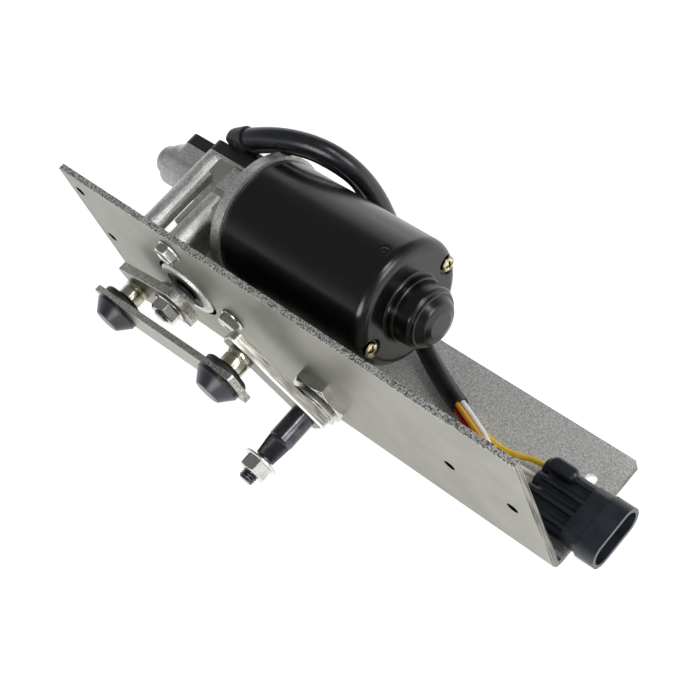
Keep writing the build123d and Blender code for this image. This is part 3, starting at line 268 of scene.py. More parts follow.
def wound():
    """Enamelled copper wire, wound: slanting ridges about 1.3 mm apart, with an orange-brown gloss."""
    material, tree = blank("enamelled_copper", "#a4572b")
    point = add(tree, "Mapping", {"Vector": add(tree, "TexCoord", {}, "Object"), "Scale": (0.4, 1, 1)})
    bands = {"bands_direction": "DIAGONAL", "Scale": 330.0, "Distortion": 3.0, "Detail": 1.0}
    wave = add(tree, "TexWave", {"Vector": point, **bands}, "Fac")
    colour = two_tones(tree, wave, 0.0, 1.0, "#6d3114", "#c9773f")
    bump = add(tree, "Bump", {"Height": wave, "Strength": 0.7, "Distance": 0.25 * MM})
    return shaded(material, {"Metallic": 0.9, "Roughness": 0.32, "Base Color": colour, "Normal": bump})


def cast_aluminium():
    """Die-cast alloy, blasted: a granular matt skin with pale grey clouds, and in the recessed pad a
    smoother, duller and darker tone, which is partly the pad's own finish and partly painted shade for the
    recess. The grit is drawn 0.9 mm wide, coarser than the real one, so that it shows."""
    pad_height, pad_front = 0.0873, 0.0024
    material, tree = blank("die_cast_aluminium", "#b3b1ac")
    point = add(tree, "TexCoord", {}, "Object")
    y, z = add(tree, "SeparateXYZ", {"Vector": point}).node.outputs[1:]
    # The recessed pad, whose tone is partly its own finish and partly painted shade
    level = add(tree, "Math", {"operation": "COMPARE", 0: z, 1: pad_height, 2: 0.0002})
    behind = where_all(tree, (y, "GREATER_THAN", pad_front))
    pad = add(tree, "Math", {"operation": "MULTIPLY", 0: level, 1: behind})
    cloud = add(tree, "TexNoise", {"Vector": point, "Scale": PER_MM / 5, "Detail": 4, "Roughness": 0.55})
    grit = add(tree, "TexNoise", {"Vector": point, "Scale": PER_MM / 0.9, "Detail": 3, "Roughness": 0.8})
    clouds = two_tones(tree, cloud, 0.35, 0.7, "#b6b5b1", "#d2d0cc")
    sparkle = two_tones(tree, grit, 0.42, 0.6, "#a9a8a4", "#f4f2ee")
    # Pad tone: a smoother finish, darkened as painted shade for the recess
    smooth = two_tones(tree, grit, 0.0, 1.0, "#a5a69c", "#c3c4ba")
    colour = coated(tree, clouds, (0.5, sparkle), (pad, smooth))
    gloss = {"Value": grit, "From Min": 0.3, "From Max": 0.7, "To Min": 0.34, "To Max": 0.52}
    bump = add(tree, "Bump", {"Height": grit, "Strength": 0.8, "Distance": 0.3 * MM})
    rough = add(tree, "MapRange", gloss)
    return shaded(material, {"Metallic": 1.0, "Base Color": colour, "Roughness": rough, "Normal": bump})


def gloss_enamel():
    """Stoved black enamel on drawn steel: deep gloss with a slight orange peel."""
    material, tree = blank("black_enamel", "#060707")
    point = add(tree, "TexCoord", {}, "Object")
    peel = add(tree, "TexNoise", {"Vector": point, "Scale": PER_MM / 1.8, "Detail": 2, "Roughness": 0.55})
    cloud = add(tree, "TexNoise", {"Vector": point, "Scale": PER_MM / 18, "Detail": 3, "Roughness": 0.55})
    gloss = {"Value": cloud, "From Min": 0.35, "From Max": 0.65, "To Min": 0.2, "To Max": 0.28}
    bump = add(tree, "Bump", {"Height": peel, "Strength": 0.05, "Distance": 0.12 * MM})
    return shaded(material, {"IOR": 1.5, "Roughness": add(tree, "MapRange", gloss), "Normal": bump})


FINISH = {
    "bracket_zinc": zinc_sheet(),
    # Bright zinc on nuts, bolts and washers: pale, with small soft reflections
    "zinc_bright": plated("bright_zinc_plate", "#d6d5d0", "#c0beb8", 0.22, 1.2, 5, 0.02),
    "link_zinc": strip_steel("zinc_plated_strip", ("#86847a", "#99978c"), 0, (1, 0.25, 1),
                             ("#85837c", "#cfcdc4")),
    # Yellow zinc on the turned studs: a warm tint over a clear gloss
    "stud_yellow": plated("yellow_zinc_plate", "#c4c1b2", "#a5a18d", 0.22, 1.5, 6, 0.01),
    # Tempered spring strip: dark blue-grey, half matt
    "spring_steel": plated("blued_spring_steel", "#5c5b59", "#3d3c3b", 0.35),
    # Ground shafts: clean grey with fine grinding marks
    "shaft_steel": plated("ground_steel", "#a5a5a3", "#86868a", 0.22, 0.4, 6, 0.15),
    # Black oxide on the wiper shaft: dark metal that still mirrors the lamps
    "shaft_black": plated("black_oxide_steel", "#4c4c50", "#606066", 0.2, 0.6, 3, 0.04),
    "cast_case": cast_aluminium(),
    # Glass-filled cover: near black, its fibres leave it half matt
    "cover_plastic": moulded("glass_filled_nylon", "#17181a", "#0e0f10", 0.42, 0.6, 0.2),
    # Cut gasket sheet: flat black
    "gasket": moulded("nitrile_gasket", "#101010", "#1b1b1b", 0.6),
    # Pressed and sintered bushes: brown and porous
    "bronze": plated("sintered_bronze", "#8c6a3c", "#6a4d28", 0.45, 0.5, 3, 0.25),
    # Turned brass-coloured screws: pale gold with painted shade in the cross and under the head
    "brass": with_painted_recess_shade(plated("turned_brass", "#dcd3b2", "#a89870", 0.2, 0.8, 1.5, 0.02), 0.0422, 0.0431),
    # Moulded boots: black with a soft sheen
    "rubber": moulded("black_rubber", "#0c0c0d", "#161617", 0.45, 0.5, 0.15),
    "can_paint": gloss_enamel(),
    # Pressed magnets: charcoal and chalky
    "ferrite": moulded("sintered_ferrite", "#2c2c2e", "#1e1e20", 0.6, 0.4, 0.3),
    # Brushes: soft graphite grey
    "carbon": moulded("carbon_brush", "#1d1d1e", "#2b2b2c", 0.55, 0.3, 0.3),
    "core_iron": laminated(),
    "copper": wound(),
    # Brush plate: brown paper laminate
    "board": moulded("phenolic_board", "#5b3a1e", "#442a14", 0.5, 0.5, 0.2),
    # Worm wheel: waxy off-white
    "wheel_plastic": moulded("acetal", "#d8d3c2", "#cbc5b2", 0.4, 0.5, 0.08),
    # Ball joint caps: blue-black with a clear sheen
    "cap_plastic": moulded("cap_nylon", "#14181e", "#0c0f14", 0.28, 0.5, 0.08),
    # Plug housing: blue-black, smooth from a polished mould
    "connector_plastic": moulded("connector_nylon", "#1a1d23", "#24282f", 0.28, 0.5, 0.06),
    # Wire seals: dark grey and soft
    "seal_rubber": moulded("silicone_seal", "#3b3b40", "#2d2d31", 0.4),
    # Extruded sleeve over the wires: glossy black, lumpy where they lie under it
    "sleeve": moulded("pvc_sleeve", "#111214", "#1c1e22", 0.27, 2.2, 1.0),
    # Extruded wire insulation: even colour with a satin gloss
    "red": moulded("red_insulation", "#b5121b", "#9a0d15", 0.35),
    "orange": moulded("amber_insulation", "#dfa42e", "#cf9220", 0.35),
    "white": moulded("white_insulation", "#efeeea", "#dddbd5", 0.35),
    "yellow": moulded("yellow_insulation", "#f0c81e", "#e0b512", 0.35),
}
LEVER_FINISH = strip_steel("zinc_plated_thick_strip", ("#74726a", "#86847a"), 136, (0.04, 1, 0.06),
                           ("#8b8980", "#e4e2d9"))


# Mesh making

MERGE = 2e-6   # metres between points that are one point
CREASE = 32.0  # degrees between faces whose edge is kept sharp and bevelled


def in_scene(name, data):
    """A new object with this data, linked to the scene."""
    made = bpy.data.objects.new(name, data)
    bpy.context.scene.collection.objects.link(made)
    return made


def cleaned(mesh):
    """The mesh with its doubles merged, no faces without area, and every face pointing outwards."""
    work = bmesh.new()
    work.from_mesh(mesh)
    bmesh.ops.remove_doubles(work, verts=work.verts, dist=MERGE)
    bmesh.ops.dissolve_degenerate(work, edges=work.edges, dist=1e-7)
    bmesh.ops.recalc_face_normals(work, faces=work.faces)
    work.to_mesh(mesh)
    work.free()
    return mesh


def smoothed(mesh, crease):
    """Smooth shading, with edges sharper than the crease kept sharp."""
    mesh.shade_smooth()
    mesh.set_sharp_from_angle(angle=math.radians(crease))
    return mesh


def mesh_of(name, grids, crease):
    """One mesh from point grids in mm: each grid is (rows, columns, 3) and its neighbours join as
    quads. Points that meet, at poles and seams, are merged."""
    points, faces, offset = [], [], 0
    for grid in grids:
        rows, columns = grid.shape[:2]
        index = np.arange(rows * columns).reshape(rows, columns) + offset
        quads = np.stack([index[:-1, :-1], index[1:, :-1], index[1:, 1:], index[:-1, 1:]], -1)
        faces.append(quads.reshape(-1, 4))
        points.append(grid.reshape(-1, 3))
        offset += rows * columns
    mesh = bpy.data.meshes.new(name)
    mesh.from_pydata(((np.vstack(points) - ORIGIN) * MM).tolist(), [], np.vstack(faces).tolist())
    return smoothed(cleaned(mesh), crease)


def prism(outline, low, high):
    """A block: an outline of (x, z) points carried straight from one depth to another along Y."""
    outline = np.array(outline, float)
    count = len(outline)
    ends = [np.stack([outline[:, 0], np.full(count, y), outline[:, 1]], -1) for y in (low, high)]
    first = np.arange(count)
    after = np.roll(first, -1)
    sides = np.stack([first, first + count, after + count, after], -1).tolist()
    caps = [first.tolist(), (first[::-1] + count).tolist()]
    mesh = bpy.data.meshes.new("block")
    mesh.from_pydata(((np.vstack(ends) - ORIGIN) * MM).tolist(), [], caps + sides)
    return cleaned(mesh)


def cut_by(mesh, cutter):
    """The mesh less the cutter, by an exact Boolean; the two working objects are removed again."""
    whole, tool = in_scene("whole", mesh), in_scene("tool", cutter)
    cut = whole.modifiers.new("cut", "BOOLEAN")
    cut.operation = "DIFFERENCE"
    cut.solver = "EXACT"
    cut.object = tool
    bpy.context.view_layer.update()
    left = bpy.data.meshes.new_from_object(whole.evaluated_get(bpy.context.evaluated_depsgraph_get()))
    bpy.data.objects.remove(whole)
    bpy.data.objects.remove(tool)
    return left


def piece(name, mesh, body, slot):
    """Puts a mesh in the scene as a finished piece, with its finish and the body that it rides on."""
    made = in_scene(name, mesh)
    mesh.materials.clear()
    mesh.materials.append(FINISH[slot])
    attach(made, body)
    return made


def stand_in(node, mesh, name=None):
    """A finished piece that stands for a CAD node, on its body and in its slot."""
    made = piece(name or node + "_finished", mesh, BODY_OF[node], SLOT_OF[node])
    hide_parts(node)
    return made


def from_grids(node, grids, crease, name=None):
    """A finished piece made of point grids that stands for a CAD node."""
    return stand_in(node, mesh_of(name or node + "_finished", grids, crease), name)


def bevelled(made, width):
    """A Bevel modifier, width in mm, along the edges that are sharper than the crease."""
    bevel = made.modifiers.new("edge", "BEVEL")
    bevel.width = width * MM
    bevel.segments = 2
    bevel.limit_method = "ANGLE"
    bevel.angle_limit = math.radians(CREASE)
    bevel.harden_normals = True
    bevel.use_clamp_overlap = True
    return made


def softened(node, width, cutter=None):
    """A copy of a CAD node with its doubles merged, a block cut away if there is one, its flats joined,
    and its edges bevelled."""
    mesh = frame["nodes"][node].data.copy()
    work = bmesh.new()
    work.from_mesh(mesh)
    bmesh.ops.remove_doubles(work, verts=work.verts, dist=MERGE)
    if cutter:
        work.to_mesh(mesh)
        mesh = cut_by(mesh, cutter)
        work.clear()
        work.from_mesh(mesh)
    bmesh.ops.dissolve_limit(work, angle_limit=math.radians(0.6), verts=work.verts, edges=work.edges)
    work.to_mesh(mesh)
    work.free()
    return bevelled(stand_in(node, smoothed(mesh, CREASE)), width)


# Profiles and turned surfaces

def rounded(points, radius, steps):
    """A profile with its inner corners rounded: each corner becomes an arc tangent to both of its
    sides. The arc starts at radius times the tangent of half the turn from the corner, or 0.45 of the
    shorter side."""
    points = np.array(points, float)
    radii = np.broadcast_to(np.asarray(radius, float), (len(points),))
    out = [points[0][None]]
    for before, corner, after, r in zip(points, points[1:], points[2:], radii[1:]):
        u, v = corner - before, after - corner
        lu, lv = np.linalg.norm(u), np.linalg.norm(v)
        u, v = u / lu, v / lv
        turn = math.acos(float(np.clip(u @ v, -1, 1)))
        if r <= 0 or turn < 0.02:
            out.append(corner[None])
            continue
        cut = min(r * math.tan(turn / 2), 0.45 * min(lu, lv))
        reach = cut / math.tan(turn / 2)
        normal = v - u * (u @ v)
        normal /= np.linalg.norm(normal)
        centre = corner - u * cut + normal * reach
        t = np.linspace(0, turn, steps)[:, None]
        out.append(centre + reach * (np.sin(t) * u - np.cos(t) * normal))
    out.append(points[-1][None])
    return np.vstack(out)


def spaced(points, step):
    """The profile with points added so that no stretch is longer than the step."""
    points = np.array(points, float)
    out = [points[:1]]
    for a, b in zip(points, points[1:]):
        share = np.linspace(0, 1, max(2, int(np.linalg.norm(b - a) / step) + 2))[1:, None]
        out.append(a + (b - a) * share)
    return np.vstack(out)


def turned(profile, centre, axis="y", count=96, shape=None):
    """A profile of (radius, height) points carried round an axis: centre + r (cos t, sin t) across + h
    along. Heights run forwards on the Y axis. shape(t, r, h) may change the radius, which gives flats
    and threads."""
    profile = np.array(profile, float)
    t = np.linspace(0, 2 * math.pi, count + 1)[None, :]
    r, h = profile[:, :1], profile[:, 1:2]
    r = np.broadcast_to(r, (len(profile), count + 1)) if shape is None else shape(t, r, h)
    h = np.broadcast_to(h, r.shape)
    across, up = r * np.cos(t), r * np.sin(t)
    order = {"x": (h, across, up), "y": (across, -h, up), "z": (across, up, h)}[axis]
    grid = np.stack(order, -1) + np.array(centre, float)
    grid[:, -1] = grid[:, 0]
    return grid


def hexagon(flats, low, top):
    """Radius of a hexagon bar between two heights: flats / 2 over the 160th-power mean of cos(angle to
    each flat), which is a hexagon with its corners just rounded. Its top is cut by a cone that starts
    0.3 mm inside the flats and widens by 1.7 mm for each mm down."""
    power = 160

    def shape(t, r, h):
        facing = sum(np.abs(np.cos(t - math.radians(30 + 60 * side))) ** power for side in range(3))
        bar = np.minimum(flats / 2 * facing ** (-1 / power), flats / 2 - 0.3 + 1.7 * (top - h))
        return np.where((r > flats / 2 - 1.0) & (h >= low - 1e-6), np.minimum(bar, r), r + 0 * t)
    return shape


def thread(pitch, depth, low, high):
    """A screw thread between two heights: the radius drops by depth times a triangle wave of height
    over pitch less t over 2 pi, which fades in over a pitch and out over 0.6 of one."""
    def shape(t, r, h):
        phase = (h / pitch - t / (2 * math.pi)) % 1.0
        wave = 1 - np.abs(2 * phase - 1)
        fade = np.clip((h - low) / pitch, 0, 1) * np.clip((high - h) / (0.6 * pitch), 0, 1)
        return np.where((h >= low) & (h <= high), r - depth * wave * fade, r + 0 * t)
    return shape


def splines(count, depth, low, high):
    """Fine ribs along a shaft between two heights: the radius drops by half the depth times
    1 - cos(count t), which fades in over 1.2 mm."""
    def shape(t, r, h):
        fade = np.clip((h - low) / 1.2, 0, 1) * (h < high)
        return r - depth * (0.5 - 0.5 * np.cos(count * t)) * fade
    return shape


# Cords, on the same routes as the CAD tubes

SLEEVE_POCKET = 6.0
SLEEVE_ROUTE = [(66, 59.2, 92.4), (92, 67.6, 104), (124, 78, 88), (127, 79, 30), (160, 46.6, 8.2),
                (195, 35, 9.5)]
HOSE_ROUTE = [(66, 57.2, 85.3), (93, 66, 97.7), (118, 74.9, 80), (117, 75.9, 58), (120, 75.4, 40)]
# Each wire: its place in the sleeve's end, its bends, its end in the connector, and its length in metres
WIRE_PLANS = {
    "wire_red": ((-2.1, -0.5), [(207, 28.4, 9.4), (230, 12.95, 10.7)], (251, 12.95, 10.7), 0.067),
    "wire_orange": ((-0.6, 1.7), [(209, 29.4, 12.2), (233, 19.65, 10.7)], (251, 19.65, 10.7), 0.0645),
    "wire_white": ((1.9, 0.9), [(211, 31.6, 11.2), (224, 24.5, 9.2), (236, 26.35, 10.7)],
                   (251, 26.35, 10.7), 0.0635),
    "wire_yellow": ((0.6, -1.9), [(213, 30.2, 7.6), (229, 29.0, 9.4), (242, 33.05, 10.7)],
                    (251, 33.05, 10.7), 0.0625),
}


def cord_curve(node, points, diameter):
    """A NURBS curve of order 3 through the route's control points, as thick as the real cord."""
    curve = bpy.data.curves.new(node + "_cord", "CURVE")
    curve.dimensions = "3D"
    spline = curve.splines.new("NURBS")
    spline.points.add(len(points) - 1)
    for control, point in zip(spline.points, points):
        control.co = (*place(*point), 1.0)
    spline.order_u = 3
    spline.use_endpoint_u = True
    curve.resolution_u = 24
    curve.bevel_depth = diameter / 2 * MM
    curve.bevel_resolution = 6
    curve.use_fill_caps = True
    made = in_scene(node + "_cord", curve)
    curve.materials.append(FINISH[SLOT_OF[node]])
    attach(made, "base")
    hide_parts(node)
    return made


def wire_start(offset):
    """Where a wire begins inside the sleeve's end: back along the sleeve, then across and up."""
    end, before = (np.array(point, float) for point in (SLEEVE_ROUTE[-1], SLEEVE_ROUTE[-2]))
    along = (end - before) / np.linalg.norm(end - before)
    across = np.cross((0, 0, 1), along)
    across /= np.linalg.norm(across)
    start = end - along * (SLEEVE_POCKET - 0.4) + across * offset[0] + np.cross(along, across) * offset[1]
    return tuple(start)


def cords():
    """The sleeve and the hose behind the motor, and four wires from the sleeve's end to the plug."""
    sleeve = cord_curve("cable_sleeve", SLEEVE_ROUTE, 9.0)
    hose = cord_curve("vent_hose", HOSE_ROUTE, 3.4)
    plug = [softened("connector_housing", 0.4), "connector_pins", "connector_seals"]
    for node, (offset, bends, end, length) in WIRE_PLANS.items():
        start = wire_start(offset)
        wire = cord_curve(node, [start, *bends, end], 2.5)


# Motor can, and the screws of the can and the cover

CAN_RADIUS = 30.0
CAN_SCREW_RADIUS = 25.1
# The can's skin as (radius, distance from the bracket's left end, rounding of that corner)
CAN_OUTSIDE = [
    (30.0, 94.0, 0.0),
    (30.0, 166.0, 0.0),
    (30.0, 180.0, 5.2),
    (15.6, 180.0, 1.4),
    (15.3, 183.4, 0.5),
    (14.7, 183.8, 0.5),
    (14.3, 191.2, 1.6),
    (12.9, 192.2, 0.3),
    (12.8, 193.2, 0.3),
    (11.8, 193.3, 0.4),
    (9.6, 196.3, 3.0),
    (6.0, 197.45, 1.0),
    (0.0, 197.5, 0.0),
]
CAN_INSIDE = [
    (0.0, 195.7, 0.0),
    (8.2, 195.7, 1.0),
    (8.2, 189.9, 1.0),
    (12.6, 189.9, 1.0),
    (12.8, 178.2, 1.0),
    (28.2, 178.2, 3.2),
    (28.2, 94.0, 0.0),
]
CAN_STRAIGHT_END = 166.0
# The tool mark on the can's top: a dot and a ring groove as (radius, width, depth)
MARK_PLACE, MARK_ANGLE = 171.7, math.radians(-7.9)
MARK_RINGS = ((0.0, 0.6, 0.35), (2.3, 0.45, 0.22))


def pressed_mark(grid):
    """A tool mark in the can's skin: a dot with a ring groove round it, each as deep as its depth times
    exp(-((reach - radius) / width) squared), pressed in towards the motor's axis."""
    centre = np.array(MOTOR)
    spot = centre + [MARK_PLACE, -CAN_RADIUS * math.sin(MARK_ANGLE), CAN_RADIUS * math.cos(MARK_ANGLE)]
    for radius, width, depth in MARK_RINGS:
        reach = np.linalg.norm(grid - spot, axis=-1)
        dip = depth * np.exp(-((reach - radius) / width) ** 2)
        out = grid - centre
        out[..., 0] = 0
        grid = grid - out / np.maximum(np.linalg.norm(out, axis=-1, keepdims=True), 1e-6) * dip[..., None]
    return grid


def can_shell():
    """The drawn can: the outer profile with its stepped nose and the inner one 1.8 mm inside it, turned
    about the motor's axis. Round each screw the skin is pushed back to a flat seat, whose wall slopes
    over 0.7 mm."""
    outside, inside = np.array(CAN_OUTSIDE), np.array(CAN_INSIDE)
    outer = rounded(outside[:, :2], outside[:, 2], 12)
    inner = rounded(inside[:, :2], inside[:, 2], 5)
    skin = [outer[:1]]
    for a, b in zip(outer, outer[1:]):
        step = 3.0 if b[1] <= CAN_STRAIGHT_END else 0.4
        share = np.linspace(0, 1, max(2, int(np.linalg.norm(b - a) / step) + 1))[1:, None]
        skin.append(a + (b - a) * share)
    grid = pressed_mark(turned(np.vstack([inner, *skin]), MOTOR, "x", 360))
    for side in (-1, 1):
        off = np.hypot(grid[..., 1] - MOTOR[1] - side * CAN_SCREW_RADIUS, grid[..., 2] - MOTOR[2])
        seat = 178.6 + 1.5 * np.clip((off - 4.5) / 0.7, 0, 1)
        near = (grid[..., 0] > 178.5) & (off < 5.2)
        grid[..., 0] = np.where(near, np.minimum(grid[..., 0], seat), grid[..., 0])
    return from_grids("motor_can", [grid], 40, "can_shell")


def cross_recess(u, v, spin):
    """How deep a screw's cross is at (u, v) from the head's centre: two arms 1 mm wide and 4.2 mm long,
    turned by spin, 1.5 mm deep in the middle and less towards their tips, with walls that slope over a
    third of their width."""
    half_width, half_length = 0.5, 2.1
    u, v = u * math.cos(spin) - v * math.sin(spin), u * math.sin(spin) + v * math.cos(spin)
    along_u = np.maximum(np.abs(u) / half_width, np.abs(v) / half_length)
    along_v = np.maximum(np.abs(v) / half_width, np.abs(u) / half_length)
    walls = np.clip((1.12 - np.minimum(along_u, along_v)) / 0.35, 0, 1)
    return 1.5 * walls * np.clip(1.4 - np.hypot(u, v) / 2.2, 0, 1)


def cover_screw_heads():
    """The cover's screws: a shank and a pan head, whose height drops by 0.5 mm times the cube of the
    radius ratio."""
    head_radius, head_under, head_top = 3.2, -53.8, -56.0
    shank = [(0, -42.2), (1.7, -42.2), (1.7, head_under), (head_radius, head_under)]
    places = [on_circle(OUTPUT, 26.9, degrees) for degrees in (195, 235, 277, 320)]
    places += [(56.5, 0.0, 84.2), (79.5, 0.0, 85.0)]
    radius = np.linspace(head_radius, 0, 40)
    dome = np.stack([radius, head_top + 0.5 * (radius / head_radius) ** 3], -1)
    grids = []
    for number, centre in enumerate(places):
        grid = turned(np.vstack([shank, dome]), centre, count=120)
        depth = cross_recess(grid[..., 0] - centre[0], grid[..., 2] - centre[2], 0.7 + 1.1 * number)
        grid[..., 1] -= np.where(grid[..., 1] > 55.2, 0.8 * depth, 0)
        grids.append(grid)
    return from_grids("cover_screws", grids, 45, "cover_screw_heads")


def can_screw_heads():
    """Long screws through the can: a pan head whose height drops by 0.9 mm times the radius ratio to
    the power 3.2."""
    head_radius, head_under, head_top = 3.5, 178.9, 180.9
    shank = [(0, 89), (1.9, 89), (1.9, head_under), (head_radius, head_under)]
    radius = np.linspace(head_radius, 0, 44)
    dome = np.stack([radius, head_top - 0.9 * (radius / head_radius) ** 3.2], -1)
    grids = []
    for side, spin in ((-1, 0.5), (1, 0.25)):
        centre = (0.0, MOTOR[1] + side * CAN_SCREW_RADIUS, MOTOR[2])
        grid = turned(np.vstack([shank, dome]), centre, "x", 144)
        depth = cross_recess(grid[..., 1] - centre[1], grid[..., 2] - centre[2], spin)
        grid[..., 0] -= np.where(grid[..., 0] > 179.5, depth, 0)
        grids.append(grid)
    return from_grids("can_screws", grids, 45, "can_screw_heads")


# Nuts, bolts and shafts; heights run forwards, out of the bracket's front face

M8_PITCH, M8_DEPTH, M8_FLATS, M8_BORE = 1.25, 0.62, 13.0, 3.92
NUT_CREASE = 34
SHAFT_CREASE = 38
BOLTS = ((73.9, 0.0, 83.2), (97.0, 0.0, 46.0), (39.7, 0.0, 23.3))
PIVOT_NUT_FLATS, PIVOT_NUT_HEIGHT = 27.0, 5.5


def flanged_nut(centre, seat, height):
    """A flange nut: a skirt of radius 9 that slopes up into a chamfered M8 hexagon, and its hole."""
    top = seat + height
    skirt = [(M8_BORE, seat), (8.7, seat), (9.0, seat + 0.3), (9.0, seat + 0.8), (7.6, seat + 1.9)]
    profile = skirt + [(7.6, top), (M8_BORE + 0.7, top), (M8_BORE, top - 0.7), (M8_BORE, seat)]
    return turned(spaced(profile, 0.2), centre, count=240, shape=hexagon(M8_FLATS, seat + 1.3, top))


def nuts_and_bolts():
    """The two M8 nuts, the pivot's thin nut and the bracket's bolts: hexagons on turned profiles."""
    from_grids("crank_nut", [flanged_nut(OUTPUT, 12.0, 6.0)], NUT_CREASE)
    from_grids("wiper_nut", [flanged_nut(PIVOT, 41.6, 7.4)], NUT_CREASE)
    top = PIVOT_NUT_HEIGHT
    profile = [(9.92, 0), (15.9, 0), (15.9, top), (10.6, top), (9.92, top - 0.7), (9.92, 0)]
    six = hexagon(PIVOT_NUT_FLATS, -1, top)
    from_grids("pivot_nut", [turned(spaced(profile, 0.2), PIVOT, count=300, shape=six)], NUT_CREASE)
    profile = [(0, -15.2), (2.5, -15.2), (3.0, -14.6), (3.0, 0), (6.0, 0), (6.3, 0.3), (6.3, 0.7)]
    profile += [(5.8, 1.4), (5.8, 4.8), (3.9, 4.8), (3.4, 4.4), (0, 4.3)]
    six = hexagon(10.0, 1.2, 4.8)
    bolts = [turned(spaced(profile, 0.2), centre, count=180, shape=six) for centre in BOLTS]
    from_grids("housing_bolts", bolts, NUT_CREASE)


def wiper_shaft():
    """The black shaft: a plain rod, a taper with 36 splines and an M8 thread with a chamfered tip."""
    rod = [(0, -39), (5.5, -39), (6, -38.5), (6, 29.4), (5.7, 29.6)]
    taper = np.linspace((5.7, 29.6), (4.65, 39.9), 30)
    tip = np.linspace((3.95, 40.0), (3.95, 52.2), 75)
    profile = np.vstack([rod, taper, [(3.95, 39.95)], tip, [(3.2, 53), (0, 53)]])
    cut_thread = thread(M8_PITCH, M8_DEPTH, 40.6, 53)
    cut_splines = splines(36, 0.42, 29.8, 39.93)

    def shape(t, r, h):
        return cut_thread(t, cut_splines(t, r, h), h)
    from_grids("wiper_shaft", [turned(profile, PIVOT, count=288, shape=shape)], SHAFT_CREASE)


def output_shaft():
    """The output shaft: a ground rod, a plain taper under the crank and an M8 thread."""
    rod = [(0, -46.7), (4.6, -46.7), (5, -46.3), (5, 7.3), (4.4, 12.0)]
    tip = np.linspace((3.95, 12.0), (3.95, 18.6), 60)
    profile = np.vstack([rod, tip, [(3.2, 19.2), (0, 19.2)]])
    cut_thread = thread(M8_PITCH, M8_DEPTH, 12.4, 19.2)
    from_grids("output_shaft", [turned(profile, OUTPUT, count=144, shape=cut_thread)], SHAFT_CREASE)


def pivot_barrel():
    """The pivot housing: a threaded front that passes through the nut, a flange against the sheet's
    back and a plain barrel, bored right through. The thread is cut only where the radius is over 9.7,
    so the bore is plain."""
    profile = [(7, -36), (10.2, -36), (10.5, -35.7), (10.5, -6.6), (15.7, -6.5), (16, -6.2), (16, -3.3)]
    profile += [(15.8, -3.2), (9.9, -3.2), (9.9, 5.9), (9.5, 6.3), (8, 6.3), (8, -5.7), (7, -5.7), (7, -24)]
    profile += [(8, -24), (8, -36), (7, -36)]
    cut_thread = thread(1.5, 0.5, -3.0, 6.2)

    def shape(t, r, h):
        return np.where(r > 9.7, cut_thread(t, r, h), r + 0 * t)
    from_grids("pivot_housing", [turned(spaced(profile, 0.2), PIVOT, count=144, shape=shape)], SHAFT_CREASE)


# Studs, link and washers

STUD_COLLAR, STUD_WAIST, STUD_RIM = 6.4, 5.7, 6.15
BALL_RADIUS, NECK_RADIUS = 5.4, 4.0


def stud_profile(seat, front):
    """A turned stud: a wide collar on its arm, a narrower waist and a drum in front."""
    tall = front - seat
    points = [(0, seat), (STUD_COLLAR, seat), (STUD_COLLAR, seat + 0.28 * tall)]
    points += [(STUD_WAIST, seat + 0.31 * tall), (STUD_WAIST, seat + 0.36 * tall)]
    return points + [(STUD_RIM, seat + 0.4 * tall), (STUD_RIM, front - 0.4), (STUD_RIM - 0.4, front)]


def studs():
    """The crank's stud, and the lever's with its ball: r = 5.4 sin(a), height = 27.2 + 5.4 cos(a)."""
    profile = rounded(stud_profile(12.0, 20.1) + [(0, 20.1)], 0.35, 4)
    from_grids("crank_stud", [turned(profile, CRANK_STUD)], 50)
    neck = math.acos(-math.sqrt(BALL_RADIUS ** 2 - NECK_RADIUS ** 2) / BALL_RADIUS)
    angle = np.linspace(neck, 0, 22)
    ball = np.stack([BALL_RADIUS * np.sin(angle), 27.2 + BALL_RADIUS * np.cos(angle)], -1)
    profile = rounded(stud_profile(14.0, 22.4) + [(NECK_RADIUS, 22.4)], 0.35, 4)
    from_grids("lever_stud", [turned(np.vstack([profile, ball]), LEVER_STUD)], 50)


def link_frame():
    """The link's own axes: along it, across it and out of its front, from the crank end's back face."""
    start = np.array([CRANK_STUD[0], -23.3, CRANK_STUD[2]])
    end = np.array([LEVER_STUD[0], -25.6, LEVER_STUD[2]])
    length = np.linalg.norm(end - start)
    along = (end - start) / length
    across = np.array([-(end - start)[2], 0, (end - start)[0]])
    across /= np.linalg.norm(across)
    return start, along, across, np.cross(along, across), length


def at_both_ends(profile):
    """A profile turned about Z, and put on the link's axes at each of its ends."""
    start, along, across, front, length = link_frame()
    grid = turned(profile, (0, 0, 0), "z")
    x, y, z = grid[..., :1], grid[..., 1:2], grid[..., 2:]
    return [start + along * (reach + x) + across * y + front * z for reach in (0, length)]


def link_ends():
    """Caps and boots of the ball joints: turned profiles, each with its hollow for the ball. A cap's
    hollow is an arc of radius 5.7 round a centre 1.6 mm in front of the link's back."""
    arc = np.linspace(math.asin(1.6 / 5.7), math.pi / 2, 14)
    hollow = np.stack([5.7 * np.cos(arc), 1.6 + 5.7 * np.sin(arc)], -1)
    dome = [(11.3, 3.2), (11.3, 5.0), (10.7, 5.6), (6.6, 10.9), (5.6, 11.2), (0, 11.2)]
    dome = rounded(dome, (0, 0.5, 0.4, 0.9, 0.6, 0), 5)
    cap = np.vstack([[(0, 7.3)], hollow[::-1][1:], dome])
    from_grids("link_caps", at_both_ends(cap), 40)
    boot = [(5.47, 0), (4.9, -1.3), (4.3, -2.6), (6.0, -2.6), (7.4, -2.2), (8.6, -2.6), (10.3, -2.6)]
    boot = rounded(boot + [(11.3, -1.6), (11.3, 0), (5.47, 0)], 0.6, 4)
    from_grids("link_boots", at_both_ends(boot), 40)


